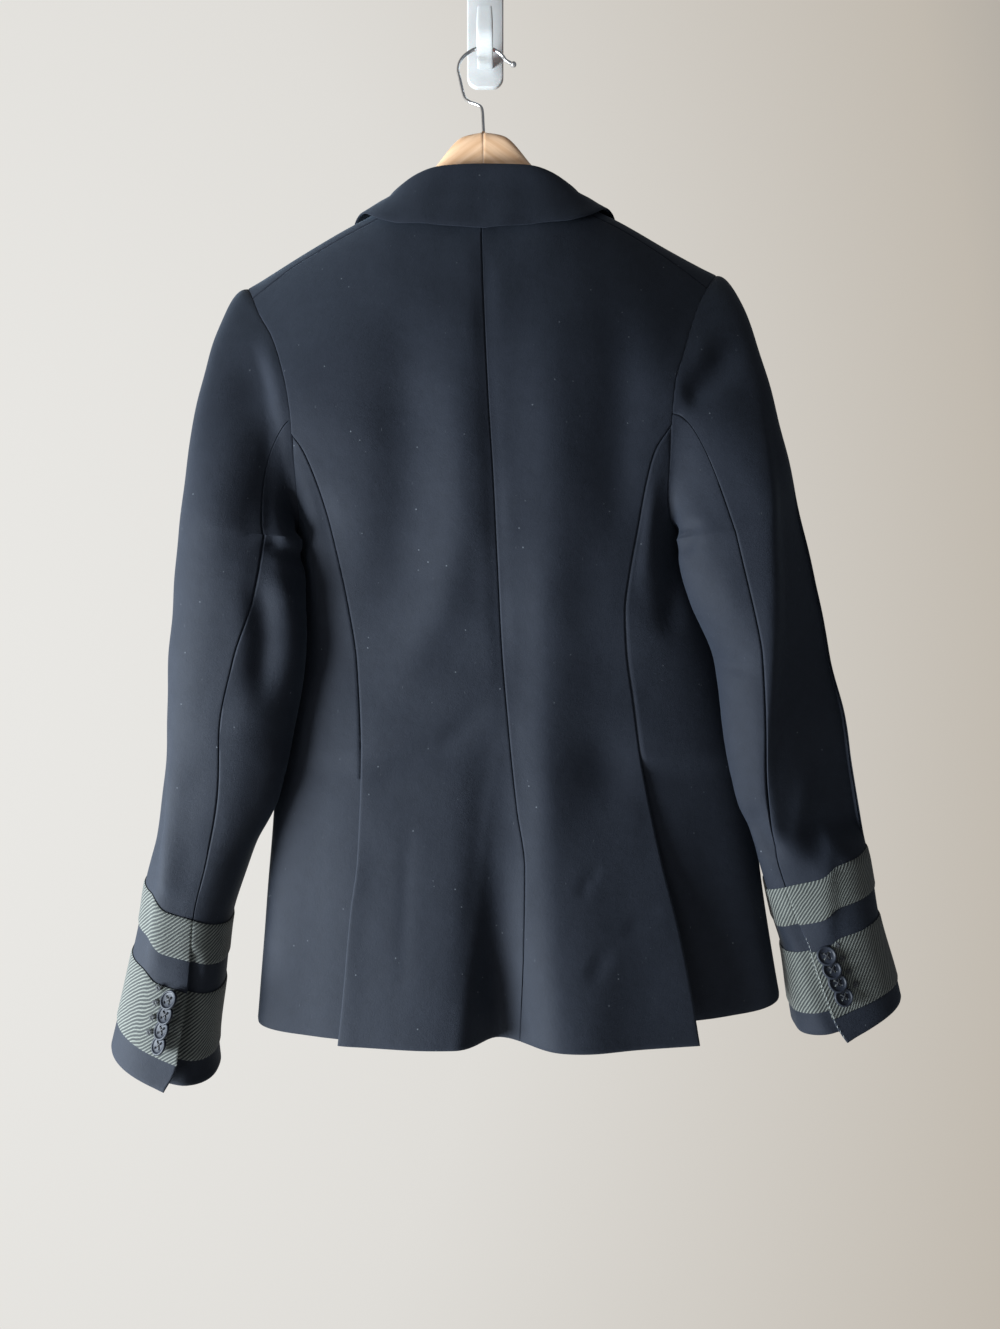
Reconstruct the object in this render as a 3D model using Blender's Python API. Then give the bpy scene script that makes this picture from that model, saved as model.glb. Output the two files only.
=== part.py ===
"""Fitted blazer on a wooden hanger that hangs from a wall hook.

X runs to the right as the back is seen, Y into the wall and Z up. The origin is the middle of the wall hook's
back face. Tables and sizes are in millimetres, and the meshes are made in metres.
"""
import math

import bmesh
import bpy
import numpy as np

MM = 0.001
CLOTH = 1.6            # thickness of the cloth
SEAM = 0.16            # each panel's edge stays this far from the seam line
CURVED_SEAM = 0.45     # the same where two curved edges meet
RIM = 11.0             # roundness of the shoulder's crest
HEM_Z = -846.0
UNDERARM_Z = -452.0
NECK = 70.0            # half width of the neck opening
VENT_TOP = -650.0
BUTTON_Z = -548.0
NECK_TOP_Z = -195.0    # where the roll line of the lapel starts
FRONT_LAP = 20.0       # how far each front runs on past the middle
FRONT_OVER = 6.2       # how far the right front lies over the left one
LAPEL_LIFT = 1.3       # air between a lapel and its front
LOWER_ROWS = 21        # rows of each panel below its side seam's top
LEFT, RIGHT = -1, 1

for old in list(bpy.data.objects):
    bpy.data.objects.remove(old, do_unlink=True)


class Table:
    """Smooth columns over a rising key, worked out from a few named rows."""

    def __init__(self, names, rows):
        data = np.array(sorted(rows), float)
        self.key = data[:, 0]
        self.columns = {}
        for index, name in enumerate(names.split()):
            self.columns[name] = (data[:, index], self.slopes(data[:, index]))

    def slopes(self, column):
        step = np.diff(self.key)
        grade = np.diff(column) / step
        slope = np.zeros(len(column))
        slope[0], slope[-1] = grade[0], grade[-1]
        for i in range(1, len(column) - 1):
            if grade[i - 1] * grade[i] > 0:
                slope[i] = 2 * grade[i - 1] * grade[i] / (grade[i - 1] + grade[i])
        return slope

    def __call__(self, name, at):
        column, slope = self.columns[name]
        at = np.asarray(at, float)
        i = np.clip(np.searchsorted(self.key, at) - 1, 0, len(self.key) - 2)
        h = self.key[i + 1] - self.key[i]
        t = np.clip((at - self.key[i]) / h, 0, 1)
        value = (
            (2 * t**3 - 3 * t**2 + 1) * column[i]
            + (t**3 - 2 * t**2 + t) * h * slope[i]
            + (3 * t**2 - 2 * t**3) * column[i + 1]
            + (t**3 - t**2) * h * slope[i + 1]
        )
        beyond = at - np.clip(at, self.key[0], self.key[-1])
        return value + beyond * np.where(beyond < 0, slope[0], slope[-1])


def ease(value):
    """Zero below 0, one above 1, smooth between."""
    t = np.clip(value, 0, 1)
    return t * t * (3 - 2 * t)


def bell(distance, width):
    return np.exp(-((distance / width) ** 2))


TORSO = Table("z left right front back square", [
    (-160, -262, 264, -18, -100, 2.6),
    (-260, -240, 242, -15, -114, 2.6),
    (-340, -208, 212, -14, -124, 2.6),
    (-400, -174, 180, -13, -126, 2.6),
    (-452, -151, 160, -13, -123, 2.6),
    (-500, -155, 173, -14, -116, 2.6),
    (-560, -160, 196, -15, -107, 2.5),
    (-620, -167, 211, -15, -109, 2.5),
    (-650, -170, 216, -15, -113, 2.4),
    (-720, -174, 224, -14, -124, 2.3),
    (-780, -178, 232, -13, -132, 2.3),
    (-850, -183, 243, -13, -138, 2.3),
])
CREST = Table("x z y", [
    (-202, -240, -37), (-147, -208, -41), (-102, -184, -44), (-70, -170, -46), (-40, -163, -46), (0, -161, -46),
    (40, -162, -46), (70, -168, -46), (102, -180, -44), (154, -207, -41), (199, -229, -37),
])
CENTRE = Table("z x", [
    (-170, -3), (-264, 0), (-348, 4), (-412, 8), (-475, 11), (-537, 14), (-599, 19), (-668, 26), (-713, 32),
    (-773, 31), (-850, 28),
])
ARMHOLE = {
    LEFT: Table("z x", [
        (-239, -200), (-253, -192), (-270, -184), (-294, -170), (-320, -160), (-344, -153.5), (-365, -150.5),
        (-393, -149), (-417, -147.5), (-438, -147), (-452, -151),
    ]),
    RIGHT: Table("z x", [
        (-228, 196), (-248, 183), (-264, 174.5), (-285, 166.5), (-313, 157.5), (-337, 150), (-360, 147.5),
        (-385, 146.5), (-420, 145), (-440, 148), (-452, 160),
    ]),
}
ARM_TOP = {LEFT: -239.0, RIGHT: -228.0}
SIDE_BACK = {
    LEFT: Table("z x", [
        (-376, -150), (-391, -139.5), (-430, -124.5), (-470, -114), (-511, -105.5), (-554, -99.5), (-632, -96),
        (-706, -97.5), (-746, -102), (-815, -107.5), (-850, -111),
    ]),
    RIGHT: Table("z x", [
        (-369, 147), (-391, 133), (-413, 127), (-449, 120.5), (-487, 113.5), (-513, 110.5), (-544, 112),
        (-582, 117), (-629, 123), (-706, 137.5), (-758, 150), (-799, 158), (-850, 166),
    ]),
}
SIDE_FRONT = {
    LEFT: Table("z x", [(-392, -149), (-430, -131), (-480, -117), (-560, -110), (-650, -113), (-850, -126)]),
    RIGHT: Table("z x", [(-392, 146.5), (-430, 135), (-480, 126), (-560, 129), (-650, 143), (-850, 169)]),
}
# How far the shoulder seam lies down the back from the crest, by distance from the middle.
SHOULDER_DROP = {
    LEFT: Table("out drop", [(0, 9.3), (62, 9.3), (72, 11), (115, 12), (150, 12), (192, 20)]),
    RIGHT: Table("out drop", [(0, 9.3), (62, 9.3), (72, 11), (110, 12), (146, 15), (183, 25)]),
}
# Folds of the back: a line from (x1, z1) to (x2, z2), proud of the panel where the height is above zero.
BACK_FOLDS = [
    dict(x1=4, z1=-560, x2=9, z2=-860, height=-30, width=27, rise=0.9),
    dict(x1=-40, z1=-680, x2=-42, z2=-860, height=5, width=30, rise=0.6),
    dict(x1=62, z1=-660, x2=86, z2=-860, height=8, width=36, rise=0.6),
    dict(x1=-88, z1=-632, x2=-4, z2=-536, height=5, width=17, rise=0.0),
    dict(x1=-52, z1=-470, x2=-40, z2=-560, height=-4, width=20, rise=0.0),
    dict(x1=-78, z1=-290, x2=-72, z2=-430, height=-4, width=20, rise=0.0),
    dict(x1=-36, z1=-290, x2=-34, z2=-450, height=4, width=16, rise=0.0),
    dict(x1=40, z1=-290, x2=44, z2=-450, height=4, width=18, rise=0.0),
    dict(x1=98, z1=-300, x2=90, z2=-430, height=-4, width=18, rise=0.0),
]


def fold_height(x, z, folds):
    """Sum of the folds at the points (x, z)."""
    total = np.zeros(np.broadcast(x, z).shape)
    for fold in folds:
        run_x, run_z = fold["x2"] - fold["x1"], fold["z2"] - fold["z1"]
        length = math.hypot(run_x, run_z)
        along = ((x - fold["x1"]) * run_x + (z - fold["z1"]) * run_z) / length**2
        across = ((x - fold["x1"]) * run_z - (z - fold["z1"]) * run_x) / length
        if fold["rise"] > 0:
            shape = np.clip(along, 0, 1.2) ** (1 + fold["rise"])
        else:
            shape = ease(along * 3 + 0.6) * ease((1 - along) * 3 + 0.6)
        total = total + fold["height"] * shape * bell(across, fold["width"])
    return total


def torso_sizes(side, z):
    middle = CENTRE("x", z)
    reach = np.abs(TORSO("left" if side == LEFT else "right", z) - middle)
    depth = (TORSO("front", z) - TORSO("back", z)) / 2
    return middle, reach, depth, TORSO("square", z)


def middle_y(x, z):
    """The plane halfway between front and back, which starts at the shoulder's crest."""
    below = CREST("z", x) - z
    level = (TORSO("front", z) + TORSO("back", z)) / 2
    return CREST("y", x) + (level - CREST("y", x)) * ease(below / 150)


def half_depth(wide, crest):
    """The smaller of two half depths, blended smoothly."""
    wide = np.maximum(wide, 1e-6)
    crest = np.maximum(crest, 1e-6)
    return (wide**-3.0 + crest**-3.0) ** (-1 / 3)


def draped(x, q):
    """Point of the torso over x. q is below zero on the back, zero on the crest and above zero on the front."""
    z = CREST("z", x) - q * q / (2 * RIM)
    side = np.where(x < CENTRE("x", z), LEFT, RIGHT)
    left, right = torso_sizes(LEFT, z), torso_sizes(RIGHT, z)
    reach = np.where(side == LEFT, left[1], right[1])
    middle, depth, square = left[0], left[2], left[3]
    share = np.clip(np.abs(x - middle) / reach, 0, 0.99999)
    full = (1 - share**square) ** (1 / square)
    out = np.sign(q) * half_depth(depth * full, np.abs(q))
    y = middle_y(x, z) + out
    y = y - np.where(q < 0, fold_height(x, z, BACK_FOLDS) * ease(full * 1.6) * ease(-q / 30), 0)
    return np.stack(np.broadcast_arrays(x, y, z), -1)


def ring(side, angle, z):
    """Point of the torso at an angle in degrees from the middle of the back, round to the middle of the front."""
    middle, reach, depth, square = torso_sizes(side, z)
    turn = np.radians(angle)
    x = middle + side * reach * np.abs(np.sin(turn)) ** (2 / square)
    full = np.abs(np.cos(turn)) ** (2 / square)
    crest = np.sqrt(2 * RIM * np.maximum(CREST("z", x) - z, 0))
    sign = np.where(angle < 90, -1, 1)
    y = middle_y(x, z) + sign * half_depth(depth * full, crest)
    y = y - np.where(angle < 90, fold_height(x, z, BACK_FOLDS) * ease(full * 1.6), 0)
    return np.stack(np.broadcast_arrays(x, y, z), -1)


def ring_angle(side, x, z):
    middle, reach, depth, square = torso_sizes(side, z)
    share = np.clip(np.abs(x - middle) / reach, 0, 1)
    return np.degrees(np.arcsin(share ** (square / 2)))


def normals(surface, a, b, step_a, step_b):
    """Unit normals of surface(a, b) by small steps, either way round."""
    along_a = surface(a + step_a, b) - surface(a - step_a, b)
    along_b = surface(a, b + step_b) - surface(a, b - step_b)
    cross = np.cross(along_a, along_b)
    return cross / np.maximum(np.linalg.norm(cross, axis=-1, keepdims=True), 1e-9)


def material(name, colour, roughness, metallic=0.0):
    made = bpy.data.materials.new(name)
    made.use_nodes = True
    shader = made.node_tree.nodes["Principled BSDF"]
    shader.inputs["Base Color"].default_value = (*colour, 1)
    shader.inputs["Roughness"].default_value = roughness
    shader.inputs["Metallic"].default_value = metallic
    return made


NAVY_CLOTH = material("navy_cloth", (0.012, 0.018, 0.028), 0.75)
TWILL = material("grey_twill", (0.12, 0.14, 0.13), 0.8)
BUTTON = material("navy_button", (0.008, 0.012, 0.02), 0.35)
WOOD = material("hanger_wood", (0.62, 0.42, 0.24), 0.45)
CHROME = material("chrome_wire", (0.8, 0.8, 0.8), 0.15, 1.0)
PLASTIC = material("white_plastic", (0.85, 0.85, 0.83), 0.35)


def add_object(name, points, faces, finish, round_below=50):
    """Closed mesh object from points in millimetres."""
    mesh = bpy.data.meshes.new(name)
    mesh.from_pydata([tuple(p) for p in np.asarray(points) * MM], [], faces)
    sheet = bmesh.new()
    sheet.from_mesh(mesh)
    bmesh.ops.recalc_face_normals(sheet, faces=sheet.faces)
    sheet.to_mesh(mesh)
    sheet.free()
    mesh.materials.append(finish)
    mesh.shade_smooth()
    mesh.set_sharp_from_angle(angle=math.radians(round_below))
    made = bpy.data.objects.new(name, mesh)
    bpy.context.scene.collection.objects.link(made)
    return made


def wall(name, outer, inner, finish):
    """Closed wall between two grids of points with the same rows and columns."""
    rows, columns = outer.shape[:2]
    count = rows * columns
    points = np.concatenate([outer.reshape(-1, 3), inner.reshape(-1, 3)])
    faces = []

    def quad(a, b, c, d):
        faces.append((a, b, c))
        faces.append((a, c, d))

    for i in range(rows - 1):
        for j in range(columns - 1):
            a = i * columns + j
            b, c, d = a + 1, a + columns + 1, a + columns
            quad(a, b, c, d)
            quad(count + a, count + b, count + c, count + d)
    rim = list(range(columns))
    rim += [i * columns + columns - 1 for i in range(1, rows)]
    rim += [(rows - 1) * columns + j for j in range(columns - 2, -1, -1)]
    rim += [i * columns for i in range(rows - 2, 0, -1)]
    for here, after in zip(rim, rim[1:] + rim[:1]):
        quad(here, after, count + after, count + here)
    return add_object(name, points, faces, finish)


TORSO_AXIS_Y = -66.0


def outward(points, direction, centre):
    """The direction turned so that it points away from the centre."""
    flip = np.sum(direction * (points - centre), axis=-1, keepdims=True) < 0
    return np.where(flip, -direction, direction)


def torso_wall(name, a, b, surface, steps, lift=0.0, shift=None):
    """A panel of the body on a grid of two parameters. Its outer face is lifted off the surface, then shifted."""
    points = surface(a, b)
    heading = normals(surface, a, b, *steps)
    axis = np.stack([points[..., 0] * 0.6, np.full(points.shape[:2], TORSO_AXIS_Y), points[..., 2] - RIM], -1)
    heading = outward(points, heading, axis)
    if shift is not None:
        points = points + shift(points)
    return wall(name, points + heading * lift, points + heading * (lift - CLOTH), NAVY_CLOTH)


def back_edge(side, z):
    """Outer edge of a back panel: armhole above, side seam below."""
    x_arm = ARMHOLE[side]("x", np.minimum(z, -253 if side == LEFT else -248))
    top = SIDE_BACK[side].key[-1]
    return np.where(z > top, x_arm, SIDE_BACK[side]("x", z))


def back_panel(side, upper=11, columns=10):
    rows = upper + LOWER_ROWS
    u = np.linspace(0, 1, columns + 1)[None, :] * np.ones((rows + 1, 1))
    x = 100.0 * side * u
    z = np.full_like(x, -200.0)
    waist = lower_levels(SIDE_BACK[side].key[-1], HEM_Z)
    for _ in range(60):
        top_x = x[:1, :]
        top = CREST("z", top_x) - SHOULDER_DROP[side]("drop", np.abs(top_x)) - CURVED_SEAM
        z[:upper] = top + (waist[0] - top) * np.linspace(0, 1, upper + 1)[:-1, None]
        z[upper:] = waist[:, None]
        inner = CENTRE("x", z) + side * SEAM
        outer = back_edge(side, z) - side * SEAM
        x = inner + (outer - inner) * u
    q = -np.sqrt(2 * RIM * (CREST("z", x) - z))
    name = "back_left" if side == LEFT else "back_right"
    return torso_wall(name, x, q, draped, (0.5, 0.05))


def lower_levels(top, hem):
    """Heights of the rows from a side seam's top to the hem."""
    return np.linspace(top, hem, LOWER_ROWS + 1)


def underlap(z):
    """How far, in degrees, the side panel runs on under the back panel inside the vent."""
    return 13.0 * ease((VENT_TOP + 4 - z) / 12)


SIDE_COLUMNS = np.array([0, 0.05, 0.12, 0.25, 0.42, 0.6, 0.76, 0.88, 0.95, 1])
VENT_TUCK = 3.2                            # depth of the underlap at the vent's top
VENT_GAPE = {LEFT: 9.0, RIGHT: 14.0}       # how much deeper it lies 200 mm further down


def side_panel(side):
    """From the side back seam round to the front, with its top edge along the underarm."""
    u = SIDE_COLUMNS
    seam_top = SIDE_BACK[side].key[-1]
    front_top = SIDE_FRONT[side].key[-1]

    def angle_at(z, share):
        first = ring_angle(side, SIDE_BACK[side]("x", z) + side * SEAM, z)
        last = 180 - ring_angle(side, SIDE_FRONT[side]("x", z) + side * CURVED_SEAM, z)
        return first + (last - first) * share

    def arm_angle(z, back):
        angle = ring_angle(side, ARMHOLE[side]("x", z), z)
        return angle if back else 180 - angle

    tops = []
    for share in u:
        back = angle_at(UNDERARM_Z, share) < 90
        low, high = UNDERARM_Z, (seam_top if back else front_top)
        for _ in range(40):
            middle = (low + high) / 2
            gap = angle_at(middle, share) - arm_angle(middle, back)
            if (gap > 0) == back:
                high = middle
            else:
                low = middle
        tops.append(low - 4 * CURVED_SEAM)
    tops[0], tops[-1] = seam_top - CURVED_SEAM, front_top - CURVED_SEAM
    tops = np.array(tops)
    z = np.stack([lower_levels(top, HEM_Z) for top in tops], 1)
    z = z + side_hem_rise(side, u[None, :]) * ease((VENT_TOP + 60 - z) / 256)
    share = u[None, :] * np.ones_like(z)
    angle = angle_at(z, share)
    angle = angle - underlap(z) * (1 - ease(share * 4))

    def tucked(points):
        """Inside the vent the panel lies in under the back panel."""
        depth = VENT_TUCK * ease((VENT_TOP + 26 - z) / 20) + VENT_GAPE[side] * ease((VENT_TOP - z) / 200)
        near = 1 - ease((share - 0.06) * 2.2)
        return np.stack([np.zeros_like(z), depth * near, np.zeros_like(z)], -1)

    name = "side_left" if side == LEFT else "side_right"
    return torso_wall(name, angle, z, lambda a, b: ring(side, a, b), (0.4, 0.5), shift=tucked)


def side_hem_rise(side, share):
    """How much higher the hem lies round the side and in front than at the back."""
    if side == LEFT:
        return 6 * ease(share * 1.5)
    return 12 + 16 * ease(share * 1.5)


def roll_line(side, z):
    """Inner edge of a front: the neck, the lapel's roll line, and the overlap below the button."""
    share = np.clip((NECK_TOP_Z - z) / (NECK_TOP_Z - BUTTON_Z), 0, 1)
    along = 0.35 * ease(share) + 0.65 * share
    lowest = CENTRE("x", z) - side * FRONT_LAP
    return side * NECK + (lowest - side * NECK) * along


def front_edge(side, z):
    top = SIDE_FRONT[side].key[-1]
    return np.where(z > top, ARMHOLE[side]("x", np.minimum(z, ARM_TOP[side])), SIDE_FRONT[side]("x", z))


def front_surface(side):
    """The right front lies over the left one where they meet."""

    def surface(x, q):
        points = draped(x, q)
        if side == RIGHT:
            over = ease((CENTRE("x", points[..., 2]) + 64 - x) / 36) * ease(q / 40)
            points = points + np.stack([np.zeros_like(over), FRONT_OVER * over, np.zeros_like(over)], -1)
        return points

    return surface


def front_grid(side, upper=6, columns=8):
    """x and q of a front panel: rows over the shoulder first, then down to the side seam's top and to the hem."""
    over = [-1.0, -0.5, -0.15, 0.0, 0.3, 1.0, 2.4]
    u = np.linspace(0, 1, columns + 1)
    seam_top = SIDE_FRONT[side].key[-1]
    levels = lower_levels(seam_top, HEM_Z)
    levels = levels + side_hem_rise(side, 1.0) * ease((VENT_TOP + 60 - levels) / 256)
    x_rows, q_rows = [], []
    x = side * (NECK + 60 * u)
    first_z = None
    for row in range(len(over) + upper + LOWER_ROWS):
        for _ in range(60):
            drop = SHOULDER_DROP[side]("drop", np.abs(x)) - CURVED_SEAM
            down = row - len(over) + 1
            if down <= 0:
                z = CREST("z", x) - np.abs(over[row]) * drop
            elif down < upper:
                z = first_z + (levels[0] - first_z) * down / upper
            else:
                z = np.full(columns + 1, levels[down - upper])
            inner = roll_line(side, z) + side * SEAM
            outer = front_edge(side, z) - side * CURVED_SEAM
            x = inner + (outer - inner) * u
        if down == 0:
            first_z = z
        sign = -1 if down <= 0 and over[row] < 0 else 1
        x_rows.append(x.copy())
        q_rows.append(sign * np.sqrt(2 * RIM * np.maximum(CREST("z", x) - z, 0)))
    return np.array(x_rows), np.array(q_rows)


def front_panel(side):
    x, q = front_grid(side)
    name = "front_left" if side == LEFT else "front_right"
    return torso_wall(name, x, q, front_surface(side), (0.5, 0.05))


LAPEL = Table("z width", [(-545, 7), (-480, 30), (-400, 50), (-320, 68), (-272, 80), (-245, 52)])


def lapel(side, rows=14, columns=4):
    z = np.linspace(LAPEL.key[-1], LAPEL.key[0], rows + 1)[:, None] * np.ones((1, columns + 1))
    u = np.linspace(0, 1, columns + 1)[None, :]
    x = roll_line(side, z) + side * (0.8 + LAPEL("width", z) * u)
    q = np.sqrt(2 * RIM * (CREST("z", x) - z))
    name = "lapel_left" if side == LEFT else "lapel_right"
    return torso_wall(name, x, q, front_surface(side), (0.5, 0.05), lift=LAPEL_LIFT + CLOTH)


# The collar from the middle of the back (station 0) round the neck to the front (station 7).
COLLAR = Table("station foot_x foot_q roll_x roll_q roll_up fall_x fall_q", [
    (0, 0, -13.8, 0, -14, 27, 0, -31.5),
    (1, 30, -13.8, 31, -14, 27, 36, -30),
    (2, 50, -12.5, 54, -12, 22, 65, -27),
    (3, 60, -8, 70, -9, 14, 85, -20),
    (4, 65, -1, 77, -1, 9, 97, -8),
    (5, 66, 8, 80, 9, 8, 106, 6),
    (6, 64, 20, 80, 21, 8, 111, 21),
    (7, 60, 32, 77, 33, 8, 111, 34),
])


COLLAR_LIFT = 5.0          # how far the fall stands off the body
COLLAR_TOP_HALF = 3.4      # half the collar's thickness at its fold


def collar(stations=24):
    """A stand that rises from the neck seam and turns over into a fall."""
    last = COLLAR.key[-1]
    station = np.linspace(-last, last, stations + 1)
    side = np.sign(station + 1e-9)
    place = np.abs(station)

    def line(part, up):
        x = side * COLLAR(part + "_x", place)
        q = COLLAR(part + "_q", place)
        points = draped(x, q)
        points[:, 2] += up
        return points

    foot = line("foot", 0.8)
    roll = line("roll", 0.0)
    fall = line("fall", 0.0)
    centre = np.stack([0.55 * fall[:, 0], np.full(len(place), -46.0), fall[:, 2] - 40], -1)
    lean = fall - centre
    lean /= np.linalg.norm(lean, axis=-1, keepdims=True)
    fall = fall + lean * COLLAR_LIFT
    to_front = ease((place - 3.2) / 2.5)[:, None]
    up = np.array([0, 0, 1.0]) * (1 - to_front) + lean * to_front
    roll = roll + up * COLLAR("roll_up", place)[:, None]
    foot = foot + lean * to_front * 2.0
    out = fall - foot
    out[:, 2] = 0
    out /= np.linalg.norm(out, axis=-1, keepdims=True)
    half = out * COLLAR_TOP_HALF
    section = [
        foot,
        foot * 0.55 + (roll - half) * 0.45,
        roll - half - [0, 0, 3.2],
        roll - half * 0.5 - [0, 0, 0.6],
        roll,
        roll + half * 0.6 - [0, 0, 0.8],
        roll + half * 1.3 - [0, 0, 4.0],
        roll * 0.62 + fall * 0.38 + lean * 1.6,
        roll * 0.3 + fall * 0.7 + lean * 1.2,
        fall,
    ]
    grid = np.stack(section, 0)
    run = np.gradient(grid, axis=0)
    across = np.gradient(grid, axis=1)
    heading = np.cross(run, across)
    heading /= np.linalg.norm(heading, axis=-1, keepdims=True)
    if heading[5, stations // 2, 1] > 0:
        heading = -heading
    return wall("collar", grid, grid - heading * CLOTH, NAVY_CLOTH)


# Rings of each sleeve. seam is the angle of the back seam from the side near the viewer, dip how much lower the near
# side of the ring lies, and tilt how much higher its outer end is.
SLEEVE = {
    LEFT: Table("z inner outer y half tilt square seam dip", [
        (-455, -141, -240, -88, 41, 4, 2.4, -26, 0),
        (-505, -143, -244.5, -88, 41, 4, 2.4, -18, 0),
        (-552, -146, -248.6, -87, 40, 3, 2.4, -6, 0),
        (-600, -153, -251, -86, 38, 5, 2.4, -1, 0),
        (-650, -166, -253.5, -84, 36, 10, 2.4, -6, 2),
        (-700, -187, -260, -82, 35, 18, 2.3, -14, 4),
        (-742, -203, -269.5, -80, 34, 27, 2.2, -19, 6),
        (-773, -207, -275, -79, 33.5, 26, 2.2, -22, 7),
        (-796, -209.5, -280.5, -78, 33.5, 24, 2.2, -23, 8),
        (-848, -215, -292.5, -78, 34, 21.5, 2.2, -22, 9),
        (-868, -213.5, -298, -78, 35, 16.5, 2.2, -12, 10),
    ]),
    RIGHT: Table("z inner outer y half tilt square seam dip", [
        (-455, 149, 254, -88, 41, 4, 2.4, -8, 0),
        (-504, 166, 265, -88, 41, 4, 2.4, -11, 0),
        (-551, 188, 275, -86, 39, 3, 2.4, -20, 0),
        (-600, 193, 287, -85, 38, 6, 2.4, -25, 0),
        (-650, 202, 295, -83, 37, 12, 2.4, -34, 0),
        (-697, 214, 303, -81, 36, 18, 2.4, -40, 0),
        (-717, 221.5, 306, -80, 35, 22.5, 2.3, -40, 0),
        (-747, 232, 311.5, -79, 34.5, 23, 2.3, -38, 0),
        (-768, 240, 315, -79, 34.5, 23, 2.3, -35, 0),
        (-817, 246.5, 330, -78, 34.5, 18, 2.3, -22, 2),
        (-832, 249, 333.5, -78, 35, 19, 2.3, -12, 4),
    ]),
}
FRONT_SEAM = 215.0
CAP_Z = -455.0
CUFF = {
    LEFT: dict(upper=(-742.0, -773.0), lower=(-796.0, -848.0), hem=-868.0, vent=-778.0),
    RIGHT: dict(upper=(-717.0, -747.0), lower=(-768.0, -817.0), hem=-832.0, vent=-752.0),
}
SOFT = 3.0                 # how gently the sleeve turns where it meets the body
SLEEVE_CLEAR = 5.5         # air and cloth between the body's surface and the sleeve's
FREE_RINGS = 11            # rings of a sleeve between its cap and its cuff
CAP_ROWS = [0.0, 0.1, 0.22, 0.36, 0.52, 0.68, 0.84]


def sleeve_ring(side, angle, z):
    """Point of the sleeve: 0 degrees is nearest the viewer, 90 outermost, 180 at the wall and 270 at the body."""
    table = SLEEVE[side]
    inner, outer = table("inner", z), table("outer", z)
    tilt = np.radians(table("tilt", z))
    power = 2 / table("square", z)
    turn = np.radians(angle)
    reach = np.abs(outer - inner) / 2
    across = np.sign(np.sin(turn)) * np.abs(np.sin(turn)) ** power
    near = np.sign(np.cos(turn)) * np.abs(np.cos(turn)) ** power
    x = (inner + outer) / 2 + side * reach * across
    y = table("y", z) - table("half", z) * near
    rise = reach * np.tan(tilt) * across - table("dip", z) * near
    return clear_of_torso(side, np.stack(np.broadcast_arrays(x, y, z + rise), -1))


def clear_of_torso(side, points):
    """Where the sleeve would reach into the body it lies against it instead."""
    x, y, z = points[..., 0], points[..., 1], points[..., 2]
    middle, reach, depth, square = torso_sizes(side, z)
    level = middle_y(middle + side * reach, z)
    share = np.clip(np.abs(y - level) / (depth + 4), 0, 1)
    edge = reach * (1 - share**square) ** (1 / square) + SLEEVE_CLEAR * ease((1 - share) * 4)
    out = side * (x - middle)
    push = SOFT * np.logaddexp(0, (edge - out) / SOFT)
    return np.stack([x + side * push * ease((-440 - z) / 14), y, z], -1)


def arm_loop(side, turn):
    """The armhole's edge: 0 degrees at the shoulder tip, 90 on the back, 180 under the arm, 270 on the front."""
    top = ARM_TOP[side]
    z = top + (UNDERARM_Z - top) * (1 - np.cos(np.radians(turn))) / 2
    x = ARMHOLE[side]("x", z)
    middle, reach, depth, square = torso_sizes(side, z)
    share = np.clip(np.abs(x - middle) / reach, 0, 1)
    full = (1 - share**square) ** (1 / square)
    crest = np.sqrt(2 * RIM * np.maximum(CREST("z", x) - z, 0))
    sign = np.where((turn % 360) < 180, -1, 1)
    y = middle_y(x, z) + sign * half_depth(depth * full, crest)
    return np.stack([x, y, z], -1)


def sleeve(side, angle, row):
    """Rows 0 to 1 are the cap, from the armhole to the first ring. Below, the row is 1 plus the fall in millimetres."""
    angle, row = np.broadcast_arrays(np.asarray(angle, float), np.asarray(row, float))
    ringed = sleeve_ring(side, angle, CAP_Z - np.maximum(row - 1, 0))
    first = sleeve_ring(side, angle, np.full(angle.shape, CAP_Z))
    edge = arm_loop(side, (90 - angle) % 360)
    edge[..., 0] += side * 2 * CURVED_SEAM
    t = np.clip(row, 0, 1)[..., None]
    lift = np.clip(np.sin(np.radians(angle)), -1, 1)[..., None]
    drop = np.linalg.norm(first - edge, axis=-1, keepdims=True)
    start = edge + np.array([side, 0, 0]) * (4 + 0.16 * drop) + np.array([0, 0, 1]) * (3 * np.maximum(lift, 0))
    ahead = first - sleeve_ring(side, angle, np.full(angle.shape, CAP_Z - 14.0))
    ahead = ahead / np.linalg.norm(ahead, axis=-1, keepdims=True)
    end = first + ahead * (0.42 * drop * np.maximum(lift + 0.25, 0.12))
    cap = (1 - t) ** 3 * edge + 3 * t * (1 - t) ** 2 * start + 3 * t**2 * (1 - t) * end + t**3 * first
    return np.where(row[..., None] <= 1, cap, ringed)


def sleeve_rows(side, z_list):
    return np.array(CAP_ROWS + [1 + CAP_Z - z for z in z_list])


def cuff_levels(side):
    """Heights of the rings below the cap, with one at each edge of the cuff's bands."""
    cuff = CUFF[side]
    upper = cuff["upper"][0]
    free = [CAP_Z + (upper - CAP_Z) * i / FREE_RINGS for i in range(FREE_RINGS)]
    lower = cuff["lower"]
    middle = (lower[0] + lower[1]) / 2
    return free + [upper, cuff["upper"][1], lower[0], middle, lower[1], cuff["hem"]]


def seam_angle(side, row):
    """Angle of the back seam, which starts nearer the viewer at the armhole."""
    at_ring = SLEEVE[side]("seam", np.minimum(CAP_Z - (row - 1), CAP_Z))
    return np.where(row < 1, -11 + (SLEEVE[side]("seam", CAP_Z) + 11) * row, at_ring)


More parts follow.
